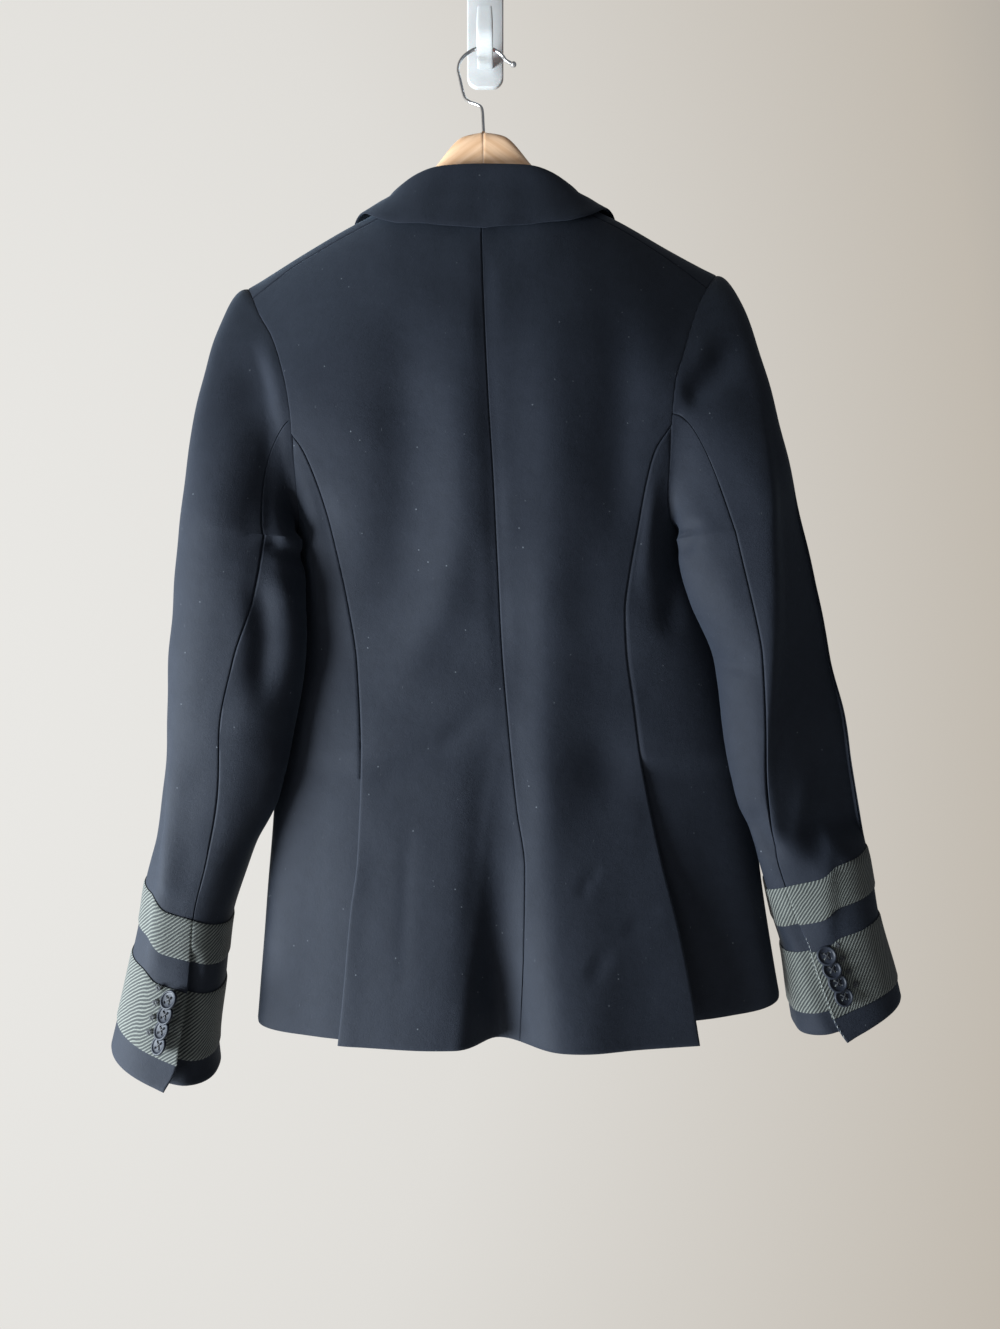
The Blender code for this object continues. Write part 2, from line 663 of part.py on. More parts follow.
def sleeve_grid(side, part, rows):
    """Angles of one sleeve piece at the given rows. The under sleeve runs on beneath the top one inside the vent."""
    rows = rows[:, None]
    first = seam_angle(side, rows)
    step = math.degrees(SEAM / 45)
    wide_step = math.degrees(CURVED_SEAM / 45)
    if part == "top":
        u = np.linspace(0, 1, 13)[None, :]
        return first + step + (FRONT_SEAM - wide_step - first - step) * u
    u = np.linspace(0, 1, 8)[None, :]
    z = CAP_Z - (rows - 1)
    under = 26.0 * ease((CUFF[side]["vent"] - z) / 14)
    last = 360 + first - step
    return FRONT_SEAM + wide_step + (last - FRONT_SEAM - wide_step) * u + under * u**5


def tuck(side, part, angle, row):
    """Depth of the under sleeve below the top one inside the vent."""
    if part == "top":
        return np.zeros(angle.shape)
    z = CAP_Z - (row - 1)
    past = angle - 360 - seam_angle(side, row)
    return 3.6 * ease((CUFF[side]["vent"] + 18 - z) / 16) * ease(1 + past / 22)


def sleeve_piece(side, part, rows, low, high, name, finish):
    """A piece of the sleeve between two depths, counted outwards from its outer face."""
    angle = sleeve_grid(side, part, rows)
    row = rows[:, None] * np.ones_like(angle)

    def shape(a, b):
        return sleeve(side, a, b)

    points = shape(angle, row)
    step_row = np.where(row < 1, 0.01, 0.6)
    heading = normals(shape, angle, row + np.where(row < 1, 0.011, 0.61), 0.6, step_row)
    whole = sleeve(side, np.linspace(0, 345, 24)[None, :] * np.ones((len(rows), 1)), rows[:, None])
    spine = whole.mean(axis=1, keepdims=True)
    heading = outward(points, heading, spine)
    sunk = tuck(side, part, angle, row)[..., None]
    return wall(name, points + heading * (high - sunk), points + heading * (low - sunk), finish)


def sleeves(side):
    hand = "left" if side == LEFT else "right"
    cuff = CUFF[side]
    for part in ("top", "under"):
        rows = sleeve_rows(side, cuff_levels(side))
        sleeve_piece(side, part, rows, -CLOTH, 0.0, f"sleeve_{part}_{hand}", NAVY_CLOTH)
        lower = cuff["lower"]
        bands = {"upper": list(cuff["upper"]), "lower": [lower[0], (lower[0] + lower[1]) / 2, lower[1]]}
        for band, levels in bands.items():
            rows = np.array([1 + CAP_Z - z for z in levels])
            sleeve_piece(side, part, rows, 0.3, 1.1, f"band_{band}_{part}_{hand}", TWILL)


def turned(profile, sides):
    """Points and faces of a profile of (radius, height) turned about the Z axis, both ends on the axis."""
    points = [(0, 0, profile[0][1])]
    for radius, height in profile[1:-1]:
        for i in range(sides):
            turn = 2 * math.pi * i / sides
            points.append((radius * math.cos(turn), radius * math.sin(turn), height))
    points.append((0, 0, profile[-1][1]))
    faces = []
    last = len(points) - 1
    rings = len(profile) - 2
    for i in range(sides):
        j = (i + 1) % sides
        faces.append((0, 1 + j, 1 + i))
        for ring_index in range(rings - 1):
            a = 1 + ring_index * sides
            faces.append((a + i, a + j, a + sides + j, a + sides + i))
        a = 1 + (rings - 1) * sides
        faces.append((last, a + i, a + j))
    return np.array(points, float), faces


def basis(normal, up):
    """Rows are the across, up and normal directions of a small piece."""
    normal = normal / np.linalg.norm(normal)
    across = np.cross(up, normal)
    across /= np.linalg.norm(across)
    return np.array([across, np.cross(normal, across), normal])


def button(name, centre, axes, radius, thickness):
    """A button with a raised rim. Its four holes are cut through."""
    profile = [(0, 0), (radius * 0.86, 0), (radius, thickness * 0.4), (radius * 0.94, thickness),
               (radius * 0.8, thickness), (radius * 0.68, thickness * 0.62), (0, thickness * 0.62)]
    points, faces = turned(profile, 14)
    made = add_object(name, points @ axes + centre, faces, BUTTON)
    cutter_mesh = bpy.data.meshes.new(name + "_holes")
    cut_points, cut_faces = [], []
    hole, apart = 0.95, radius * 0.26
    for sx in (-1, 1):
        for sy in (-1, 1):
            base = len(cut_points)
            for height in (-1.0, thickness + 1.0):
                for k in range(6):
                    turn = math.pi * k / 3
                    cut_points.append((sx * apart + hole * math.cos(turn), sy * apart + hole * math.sin(turn), height))
            cut_faces.append(tuple(base + k for k in range(5, -1, -1)))
            cut_faces.append(tuple(base + 6 + k for k in range(6)))
            for k in range(6):
                cut_faces.append((base + k, base + (k + 1) % 6, base + 6 + (k + 1) % 6, base + 6 + k))
    cutter_mesh.from_pydata([tuple(p) for p in (np.array(cut_points) @ axes + centre) * MM], [], cut_faces)
    cutter = bpy.data.objects.new(name + "_holes", cutter_mesh)
    bpy.context.scene.collection.objects.link(cutter)
    cutter.hide_render = True
    cutter.display_type = "WIRE"
    cut = made.modifiers.new("holes", "BOOLEAN")
    cut.operation = "DIFFERENCE"
    cut.object = cutter
    return made


BUTTON_RADIUS = 7.5
BUTTON_THICK = 2.4
# First button's height, the step to the next, and the distance in from the vent's edge in degrees.
CUFF_BUTTONS = {
    LEFT: dict(first=-809.0, step=11.0, turn=15.0),
    RIGHT: dict(first=-772.0, step=11.0, turn=15.0),
}
BUTTON_LEAN = math.radians(17)
BUTTON_SEAT = 1.0          # height of a button's lowest edge over the sleeve's cloth


def cuff_buttons(side):
    """Four buttons that overlap like tiles, each one's lower edge over the next."""
    hand = "left" if side == LEFT else "right"
    rule = CUFF_BUTTONS[side]
    for index in range(4):
        z = rule["first"] - rule["step"] * index
        row = 1 + CAP_Z - z
        angle = float(seam_angle(side, np.array(row))) + rule["turn"]
        spot = sleeve(side, np.array([angle, angle + 2, angle]), np.array([row, row, row + 4]))
        across, down = spot[1] - spot[0], spot[2] - spot[0]
        normal = np.cross(across, down)
        if normal[1] > 0:
            normal = -normal
        normal /= np.linalg.norm(normal)
        down /= np.linalg.norm(down)
        leaning = normal * math.cos(BUTTON_LEAN) - down * math.sin(BUTTON_LEAN)
        centre = spot[0] + normal * (BUTTON_SEAT + BUTTON_RADIUS * math.sin(BUTTON_LEAN))
        button(f"cuff_button_{hand}_{index + 1}", centre, basis(leaning, -down), BUTTON_RADIUS, BUTTON_THICK)


def front_button():
    """The closing button on the right front, over the left one."""
    x = float(CENTRE("x", BUTTON_Z)) + 2
    q = math.sqrt(2 * RIM * (float(CREST("z", x)) - BUTTON_Z + 14))
    spot = front_surface(RIGHT)(np.array([x]), np.array([q]))[0]
    button("front_button", spot + [0, 0.5, 0], basis(np.array([0, 1.0, 0]), np.array([0, 0, 1.0])), 10.0, 3.0)


# Top edge of the hanger's wood, its height and its place in depth, by distance from the middle.
HANGER = Table("out top tall y", [
    (0, -108, 46, -42), (17, -112, 46, -42), (40, -137, 44, -42), (70, -176.5, 34, -44), (100, -188, 32, -43.7),
    (147, -212.6, 30, -41), (176, -229.8, 27, -39), (188, -241, 20, -38),
])
HANGER_THICK = 13.0
HANGER_MIDDLE = -1.0
HANGER_REACH = 188.0       # length of an arm, measured level
HANGER_TIP = 176.0         # from here on an arm narrows to its end
RIGHT_ARM_UP = 4.5         # the hanger hangs a little askew


def hanger_half(side, stations=16):
    """One arm of the hanger: a rounded bar that slopes from the middle to the shoulder."""
    out = np.linspace(0, HANGER_REACH, stations + 1)
    out[0] = 0.15
    sections = []
    for place in out:
        top = float(HANGER("top", place)) + (0 if side == LEFT else RIGHT_ARM_UP * min(place / 100, 1))
        tall = float(HANGER("tall", place))
        y = float(HANGER("y", place))
        shrink = 1.0 - 0.45 * max(0.0, place - HANGER_TIP) / (HANGER_REACH - HANGER_TIP)
        half_t, half_h = HANGER_THICK / 2 * shrink, tall / 2 * shrink
        ring_points = []
        for k in range(12):
            turn = 2 * math.pi * (k + 0.5) / 12
            c, s = math.cos(turn), math.sin(turn)
            dy = math.copysign(abs(c) ** 0.7, c) * half_t
            dz = math.copysign(abs(s) ** 0.6, s) * half_h
            ring_points.append((HANGER_MIDDLE + side * place, y + dy, top - tall / 2 + dz))
        sections.append(ring_points)
    points = np.array(sections).reshape(-1, 3)
    faces = [tuple(range(12)), tuple(stations * 12 + k for k in range(12))]
    for i in range(stations):
        for k in range(12):
            n = (k + 1) % 12
            faces.append((i * 12 + k, i * 12 + n, (i + 1) * 12 + n, (i + 1) * 12 + k))
    add_object("hanger_left" if side == LEFT else "hanger_right", points, faces, WOOD)


def tube(name, path, radius, sides, finish, ball=0.0):
    """A round wire along a path. A ball may end it."""
    path = np.array(path, float)
    run = np.gradient(path, axis=0)
    run /= np.linalg.norm(run, axis=-1, keepdims=True)
    side_way = np.array([0.0, 1.0, 0.0])
    radii = np.full(len(path), radius)
    if ball:
        tip = path[-1] + run[-1] * ball * 0.4
        extra, sizes = [], []
        for k in range(7):
            turn = math.pi * (0.18 + 0.78 * k / 6)
            extra.append(tip - run[-1] * ball * math.cos(turn))
            sizes.append(ball * math.sin(turn))
        keep = path[:-1]
        path = np.concatenate([keep, extra])
        radii = np.concatenate([radii[:-1], sizes])
        run = np.concatenate([run[:-1], np.repeat(run[-1:], 7, axis=0)])
    rings = []
    for point, ahead, size in zip(path, run, radii):
        one = np.cross(ahead, side_way)
        one /= np.linalg.norm(one)
        two = np.cross(ahead, one)
        side_way = -two
        for k in range(sides):
            turn = 2 * math.pi * k / sides
            rings.append(point + (one * math.cos(turn) + two * math.sin(turn)) * size)
    count = len(path)
    faces = [tuple(range(sides)), tuple((count - 1) * sides + k for k in range(sides))]
    for i in range(count - 1):
        for k in range(sides):
            n = (k + 1) % sides
            faces.append((i * sides + k, i * sides + n, (i + 1) * sides + n, (i + 1) * sides + k))
    add_object(name, rings, faces, finish)


WIRE = 1.5
HOOK_RADIUS = 22.0
HOOK_Y = -24.0
HOOK_TOP = -24.9           # top of the wire's middle line, where it rests on the prong


def hook_path():
    """Up out of the wood, a crank to one side, then round the loop to the ball."""
    middle_z = HOOK_TOP - HOOK_RADIUS
    path = [(-1, -42, -107.4), (-1.5, -39.5, -98), (-2, -37, -88), (-3.4, -35.6, -82.5), (-8, -34.8, -79.5),
            (-13, -33.6, -77), (-17.8, -31.5, -71)]
    for k in range(17):
        turn = math.radians(200 - 170 * k / 16)
        y = HOOK_Y - 7.0 * max(0.0, (200 - 170 * k / 16 - 130) / 70)
        path.append((-1 + HOOK_RADIUS * math.cos(turn), y, middle_z + HOOK_RADIUS * math.sin(turn)))
    path.append((23.5, HOOK_Y, middle_z + 8))
    return path


PLATE_WIDE, PLATE_TALL, PLATE_THICK = 32.0, 95.0, 4.0
PRONG_WIDE, PRONG_THICK = 14.0, 3.2


def wall_hook():
    """A flat plate with round corners and a prong that turns up to carry the hanger's wire."""
    outline = []
    for cx, cz, start in ((1, 1, 0), (-1, 1, 90), (-1, -1, 180), (1, -1, 270)):
        for k in range(5):
            turn = math.radians(start + 90 * k / 4)
            outline.append((cx * (PLATE_WIDE / 2 - 10) + 10 * math.cos(turn),
                            cz * (PLATE_TALL / 2 - 10) + 10 * math.sin(turn)))
    count = len(outline)
    points = [(x, 0.0, z) for x, z in outline] + [(x, -PLATE_THICK, z) for x, z in outline]
    faces = [tuple(range(count)), tuple(count + k for k in range(count))]
    for k in range(count):
        n = (k + 1) % count
        faces.append((k, n, count + n, count + k))
    plate = add_object("wall_hook", points, faces, PLASTIC, 40)
    floor_z = HOOK_TOP - WIRE - 0.65 - PRONG_WIDE**2 / 8 / (HOOK_RADIUS - WIRE)
    line = [(-1.5, floor_z), (-14, floor_z), (-24, floor_z)]
    for k in range(1, 7):
        turn = math.radians(90 * k / 6)
        line.append((-24 - 12 * math.sin(turn), floor_z + 12 * (1 - math.cos(turn))))
    line += [(-37, floor_z + 22), (-37.5, floor_z + 30)]
    line = np.array(line)
    run = np.gradient(line, axis=0)
    run /= np.linalg.norm(run, axis=-1, keepdims=True)
    under = np.stack([-run[:, 1], run[:, 0]], -1) * PRONG_THICK
    prong_points = []
    for x in (-PRONG_WIDE / 2, PRONG_WIDE / 2):
        for y, z in list(line) + list((line + under)[::-1]):
            prong_points.append((x, y, z))
    count = 2 * len(line)
    prong_faces = [tuple(range(count)), tuple(count + k for k in range(count))]
    for k in range(count):
        n = (k + 1) % count
        prong_faces.append((k, n, count + n, count + k))
    prong = add_object("wall_hook_prong", prong_points, prong_faces, PLASTIC, 40)
    joined = plate.modifiers.new("prong", "BOOLEAN")
    joined.operation = "UNION"
    joined.object = prong
    prong.hide_render = True
    prong.display_type = "WIRE"


def build():
    for side in (LEFT, RIGHT):
        back_panel(side)
        side_panel(side)
        front_panel(side)
        lapel(side)
        sleeves(side)
        cuff_buttons(side)
        hanger_half(side)
    collar()
    front_button()
    tube("hanger_hook", hook_path(), WIRE, 10, CHROME, ball=2.6)
    wall_hook()


build()
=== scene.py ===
"""Dressed scene of the blazer: its cloth, trims and hanger with their materials, and the studio round it.

Shapes follow the tables of the solid model, in millimetres, on finer grids and with the creases of the cloth.
"""
import math
from collections import namedtuple
from functools import partial

import bmesh
import bpy
import numpy as np
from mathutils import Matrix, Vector


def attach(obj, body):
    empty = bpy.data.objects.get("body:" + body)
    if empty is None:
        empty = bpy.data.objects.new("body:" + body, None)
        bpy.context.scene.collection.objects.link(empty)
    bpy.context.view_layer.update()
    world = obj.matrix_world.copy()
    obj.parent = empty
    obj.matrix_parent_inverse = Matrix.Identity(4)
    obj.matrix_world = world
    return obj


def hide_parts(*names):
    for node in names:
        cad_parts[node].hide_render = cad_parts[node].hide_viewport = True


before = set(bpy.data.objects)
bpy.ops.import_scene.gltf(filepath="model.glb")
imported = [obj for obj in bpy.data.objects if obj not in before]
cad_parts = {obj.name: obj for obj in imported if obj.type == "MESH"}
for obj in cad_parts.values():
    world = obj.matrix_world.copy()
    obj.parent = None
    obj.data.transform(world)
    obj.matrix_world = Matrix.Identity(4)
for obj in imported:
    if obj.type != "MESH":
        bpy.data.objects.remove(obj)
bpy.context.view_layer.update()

MM = 0.001
CLOTH = 1.6            # thickness of the cloth
SEAM = -0.12           # from the seam line to a panel's edge. Below zero the edges overlap in the groove
RIM = 11.0             # roundness of the shoulder's crest
HEM_Z = -846.0
UNDERARM_Z = -452.0
NECK = 70.0            # half width of the neck opening
NECK_Z = -195.0
VENT_TOP = -650.0
VENT_UNDER = 13.0      # degrees by which a side panel runs on under the back inside the vent
VENT_TUCK = 3.2        # depth of the underlap at the vent's top
BUTTON_Z = -548.0
FRONT_LAP = 20.0       # how far each front runs on past the middle
FRONT_OVER = 6.2       # how far the right front lies over the left one
LAPEL_LIFT = 1.3       # gap between a lapel and its front
SEAM_DEPTH = 1.1       # how deep an edge turns in at a seam
PUCKER = 0.10          # height of the puckers beside a seam
PUCKER_REACH = 3.2     # how far from the seam they reach
LEFT, RIGHT = -1, 1
HAND = {LEFT: "left", RIGHT: "right"}
LOWER_ROWS = 135       # rows of each panel below its side seam's top


class Table:
    """Smooth columns over a rising key, worked out from a few named rows."""

    def __init__(self, names, rows):
        data = np.array(sorted(rows), float)
        self.key = data[:, 0]
        self.columns = {}
        for index, name in enumerate(names.split()):
            self.columns[name] = (data[:, index], self.slopes(data[:, index]))

    def slopes(self, column):
        step = np.diff(self.key)
        grade = np.diff(column) / step
        slope = np.zeros(len(column))
        slope[0], slope[-1] = grade[0], grade[-1]
        for i in range(1, len(column) - 1):
            if grade[i - 1] * grade[i] > 0:
                slope[i] = 2 * grade[i - 1] * grade[i] / (grade[i - 1] + grade[i])
        return slope

    def __call__(self, name, at):
        column, slope = self.columns[name]
        at = np.asarray(at, float)
        i = np.clip(np.searchsorted(self.key, at) - 1, 0, len(self.key) - 2)
        h = self.key[i + 1] - self.key[i]
        t = np.clip((at - self.key[i]) / h, 0, 1)
        value = (
            (2 * t**3 - 3 * t**2 + 1) * column[i]
            + (t**3 - 2 * t**2 + t) * h * slope[i]
            + (3 * t**2 - 2 * t**3) * column[i + 1]
            + (t**3 - t**2) * h * slope[i + 1]
        )
        beyond = at - np.clip(at, self.key[0], self.key[-1])
        return value + beyond * np.where(beyond < 0, slope[0], slope[-1])


def ease(value):
    """Zero below 0, one above 1, smooth between."""
    t = np.clip(value, 0, 1)
    return t * t * (3 - 2 * t)


def bell(distance, width):
    return np.exp(-((distance / width) ** 2))


def xyz(x, y, z):
    """Points, or steps, from their three parts."""
    return np.stack(np.broadcast_arrays(x, y, z), -1)


TORSO = Table("z left right front back square", [
    (-160, -262, 264, -18, -100, 2.6),
    (-260, -240, 242, -15, -114, 2.6),
    (-340, -208, 212, -14, -124, 2.6),
    (-400, -174, 180, -13, -126, 2.6),
    (-452, -151, 160, -13, -123, 2.6),
    (-500, -155, 173, -14, -116, 2.6),
    (-560, -160, 196, -15, -107, 2.5),
    (-620, -167, 211, -15, -109, 2.5),
    (-650, -170, 216, -15, -113, 2.4),
    (-720, -174, 224, -14, -124, 2.3),
    (-780, -178, 232, -13, -132, 2.3),
    (-850, -183, 243, -13, -138, 2.3),
])
CREST = Table("x z y", [
    (-202, -240, -37), (-147, -208, -41), (-102, -184, -44), (-70, -170, -46), (-40, -163, -46),
    (0, -161, -46), (40, -162, -46), (70, -168, -46), (102, -180, -44), (154, -207, -41), (199, -229, -37),
])
CENTRE = Table("z x", [
    (-170, -3), (-264, 0), (-348, 4), (-412, 8), (-475, 11), (-537, 14), (-599, 19), (-668, 26), (-713, 32),
    (-773, 31), (-850, 28),
])
ARMHOLE = {
    LEFT: Table("z x", [
        (-239, -200), (-253, -192), (-270, -184), (-294, -170), (-320, -160), (-344, -153.5), (-365, -150.5),
        (-393, -149), (-417, -147.5), (-438, -147), (-452, -151),
    ]),
    RIGHT: Table("z x", [
        (-228, 196), (-248, 183), (-264, 174.5), (-285, 166.5), (-313, 157.5), (-337, 150), (-360, 147.5),
        (-385, 146.5), (-420, 145), (-440, 148), (-452, 160),
    ]),
}
ARM_TOP = {LEFT: -239.0, RIGHT: -228.0}
SIDE_BACK = {
    LEFT: Table("z x", [
        (-376, -150), (-391, -139.5), (-430, -124.5), (-470, -114), (-511, -105.5), (-554, -99.5),
        (-632, -96), (-706, -97.5), (-746, -102), (-815, -107.5), (-850, -111),
    ]),
    RIGHT: Table("z x", [
        (-369, 147), (-391, 133), (-413, 127), (-449, 120.5), (-487, 113.5), (-513, 110.5), (-544, 112),
        (-582, 117), (-629, 123), (-706, 137.5), (-758, 150), (-799, 158), (-850, 166),
    ]),
}
SIDE_FRONT = {
    LEFT: Table("z x", [(-392, -149), (-430, -131), (-480, -117), (-560, -110), (-650, -113), (-850, -126)]),
    RIGHT: Table("z x", [(-392, 146.5), (-430, 135), (-480, 126), (-560, 129), (-650, 143), (-850, 169)]),
}
# How far the shoulder seam lies down the back from the crest, by distance from the middle.
SHOULDER_DROP = {
    LEFT: Table("out drop", [(0, 9.3), (62, 9.3), (72, 11), (115, 12), (150, 12), (192, 20)]),
    RIGHT: Table("out drop", [(0, 9.3), (62, 9.3), (72, 11), (110, 12), (146, 15), (183, 25)]),
}
VENT_OPEN = {LEFT: 9.0, RIGHT: 14.0}       # how much deeper the underlap lies towards the hem
ARM_EDGE_TOP = {LEFT: -253, RIGHT: -248}   # above this a back's edge at the armhole runs straight up
# Rise of the hem round the side: at the back edge, and how much more it is in front.
HEM_RISE = {LEFT: (0, 6), RIGHT: (12, 16)}

# A crease along a line of (x, z), with its height, and its width on the left and the right of the way down.
# It grows along its way by the power rise, or fades over these shares of its length at the start and the end.
Fold = namedtuple("Fold", "line height width right rise fade", defaults=(None, None, (0.35, 0.35)))


def crease(x, z, fold):
    """Height of one crease at the points (x, z)."""
    line = np.array(fold.line, float)
    best = np.full(np.broadcast(x, z).shape, 1e9)
    across = np.zeros_like(best)
    along = np.zeros_like(best)
    lengths = np.linalg.norm(np.diff(line, axis=0), axis=1)
    whole = lengths.sum()
    walked = 0.0
    for (x1, z1), (x2, z2), length in zip(line[:-1], line[1:], lengths):
        run_x, run_z = (x2 - x1) / length, (z2 - z1) / length
        t = np.clip((x - x1) * run_x + (z - z1) * run_z, 0, length)
        off_x, off_z = x - (x1 + t * run_x), z - (z1 + t * run_z)
        distance = np.hypot(off_x, off_z)
        nearer = distance < best
        best = np.where(nearer, distance, best)
        on_left = off_z * run_x - off_x * run_z > 0
        across = np.where(nearer, np.where(on_left, distance, -distance), across)
        along = np.where(nearer, (walked + t) / whole, along)
        walked += length
    if fold.rise:
        fade = along**fold.rise
    else:
        start, stop = fold.fade
        fade = (ease(along / start) if start else 1.0) * (ease((1 - along) / stop) if stop else 1.0)
    return fold.height * fade * bell(across, np.where(across < 0, fold.width, fold.right or fold.width))


def creases(x, z, folds):
    """Sum of the creases at the points (x, z)."""
    return sum((crease(x, z, fold) for fold in folds), np.zeros(np.broadcast(x, z).shape))


# Large folds of the back.
BACK_FOLDS = [
    Fold([(6, -560), (12, -860)], -31, 18, 27, rise=1.9),
    Fold([(-44, -680), (-46, -860)], 3, 32, rise=1.6),
    Fold([(62, -640), (80, -860)], 9, 30, rise=1.4),
    Fold([(52, -440), (50, -540), (54, -640), (60, -740)], 5.5, 20, 27, fade=(0.3, 0.35)),
    Fold([(-64, -255), (-60, -350), (-58, -430), (-66, -480), (-84, -520), (-106, -552)], -5.5, 24),
    Fold([(-20, -265), (-17, -380), (-15, -450), (-30, -510), (-58, -560), (-94, -604)], 3.2, 17),
    Fold([(54, -240), (53, -350), (54, -480), (50, -560)], 4.2, 24),
    Fold([(106, -260), (107, -370), (103, -480)], -4.2, 19),
    Fold([(-96, -652), (-64, -634), (-32, -621), (14, -574)], -2.0, 10),
    Fold([(84, -590), (95, -632), (104, -676)], -3.2, 20, fade=(0.5, 0.5)),
    Fold([(40, -540), (42, -640), (48, -740), (52, -846)], 2.5, 16, fade=(0.4, 0)),
]


def torso_sizes(side, z):
    middle = CENTRE("x", z)
    reach = np.abs(TORSO("left" if side == LEFT else "right", z) - middle)
    depth = (TORSO("front", z) - TORSO("back", z)) / 2
    return middle, reach, depth, TORSO("square", z)


def middle_y(x, z):
    """The plane halfway between front and back, which starts at the shoulder's crest."""
    below = CREST("z", x) - z
    level = (TORSO("front", z) + TORSO("back", z)) / 2
    return CREST("y", x) + (level - CREST("y", x)) * ease(below / 150)


def crest_depth(x, z):
    """Half depth that the round crest gives at a height below it."""
    return np.sqrt(2 * RIM * np.maximum(CREST("z", x) - z, 0))


def half_depth(wide, crest):
    """The smaller of two half depths, blended smoothly."""
    wide = np.maximum(wide, 1e-6)
    crest = np.maximum(crest, 1e-6)
    return (wide**-3.0 + crest**-3.0) ** (-1 / 3)


def draped(x, q):
    """Point of the torso over x. q is below zero on the back, zero on the crest, above zero on the front."""
    z = CREST("z", x) - q * q / (2 * RIM)
    side = np.where(x < CENTRE("x", z), LEFT, RIGHT)
    left, right = torso_sizes(LEFT, z), torso_sizes(RIGHT, z)
    reach = np.where(side == LEFT, left[1], right[1])
    middle, depth, square = left[0], left[2], left[3]
    share = np.clip(np.abs(x - middle) / reach, 0, 0.99999)
    full = (1 - share**square) ** (1 / square)
    out = np.sign(q) * half_depth(depth * full, np.abs(q))
    y = middle_y(x, z) + out
    y = y - np.where(q < 0, creases(x, z, BACK_FOLDS) * ease(full * 1.6) * ease(-q / 30), 0)
    return xyz(x, y, z)


def ring(side, angle, z):
    """Point of the torso at an angle, from 0 degrees at the middle of the back to 180 in front."""
    middle, reach, depth, square = torso_sizes(side, z)
    turn = np.radians(angle)
    x = middle + side * reach * np.abs(np.sin(turn)) ** (2 / square)
    full = np.abs(np.cos(turn)) ** (2 / square)
    crest = crest_depth(x, z)
    sign = np.where(angle < 90, -1, 1)
    y = middle_y(x, z) + sign * half_depth(depth * full, crest)
    y = y - np.where(angle < 90, creases(x, z, BACK_FOLDS) * ease(full * 1.6), 0)
    return xyz(x, y, z)


def ring_angle(side, x, z):
    middle, reach, _, square = torso_sizes(side, z)
    share = np.clip(np.abs(x - middle) / reach, 0, 1)
    return np.degrees(np.arcsin(share ** (square / 2)))


def normals(surface, a, b, step_a, step_b):
    """Unit normals of surface(a, b) by small steps, either way round."""
    along_a = surface(a + step_a, b) - surface(a - step_a, b)
    along_b = surface(a, b + step_b) - surface(a, b - step_b)
    cross = np.cross(along_a, along_b)
    return cross / np.maximum(np.linalg.norm(cross, axis=-1, keepdims=True), 1e-9)


def outward(points, direction, centre):
    """The direction turned so that it points away from the centre."""
    flip = np.sum(direction * (points - centre), axis=-1, keepdims=True) < 0
    return np.where(flip, -direction, direction)


def back_edge(side, z):
    """Outer edge of a back panel: armhole above, side seam below."""
    x_arm = ARMHOLE[side]("x", np.minimum(z, ARM_EDGE_TOP[side]))
    top = SIDE_BACK[side].key[-1]
    return np.where(z > top, x_arm, SIDE_BACK[side]("x", z))


def lower_levels(top, hem):
    """Heights of the rows from a side seam's top to the hem."""
    return np.linspace(top, hem, LOWER_ROWS + 1)


def underlap(z):
    """How far, in degrees, the side panel runs on under the back panel inside the vent."""
    return VENT_UNDER * ease((VENT_TOP + 4 - z) / 12)


def side_hem_rise(side, share, z):
    """How much higher the rows near the hem lie, by the share of the way round from the back to the front."""
    rise, more = HEM_RISE[side]
    return (rise + more * ease(share * 1.5)) * ease((VENT_TOP + 60 - z) / 256)


def roll_line(side, z):
    """Inner edge of a front: the neck, the lapel's roll line, and the overlap below the button."""
    share = (NECK_Z - z) / (NECK_Z - BUTTON_Z)
    along = ease(share * 0.999) * 0.35 + 0.65 * np.clip(share, 0, 1)
    return side * NECK + (CENTRE("x", z) - side * FRONT_LAP - side * NECK) * along


def front_edge(side, z):
    top = SIDE_FRONT[side].key[-1]
    return np.where(z > top, ARMHOLE[side]("x", np.minimum(z, ARM_TOP[side])), SIDE_FRONT[side]("x", z))


def front_surface(side):
    """The right front lies over the left one where they meet."""

    def surface(x, q):
        points = draped(x, q)
        if side == RIGHT:
            over = ease((CENTRE("x", points[..., 2]) + 64 - x) / 36) * ease(q / 40)
            points = points + xyz(0, FRONT_OVER * over, 0)
        return points

    return surface


LAPEL = Table("z width", [(-545, 7), (-480, 30), (-400, 50), (-320, 68), (-272, 80), (-245, 52)])


# The collar from the middle of the back (station 0) round the neck to the front (station 7).
COLLAR = Table("station foot_x foot_q roll_x roll_q roll_up fall_x fall_q", [
    (0, 0, -13.8, 0, -14, 27, 0, -31.5),
    (1, 30, -13.8, 31, -14, 27, 36, -30),
    (2, 50, -12.5, 54, -12, 22, 65, -27),
    (3, 60, -8, 70, -9, 14, 85, -20),
    (4, 65, -1, 77, -1, 9, 97, -8),
    (5, 66, 8, 80, 9, 8, 106, 6),
    (6, 64, 20, 80, 21, 8, 111, 21),
    (7, 60, 32, 77, 33, 8, 111, 34),
])


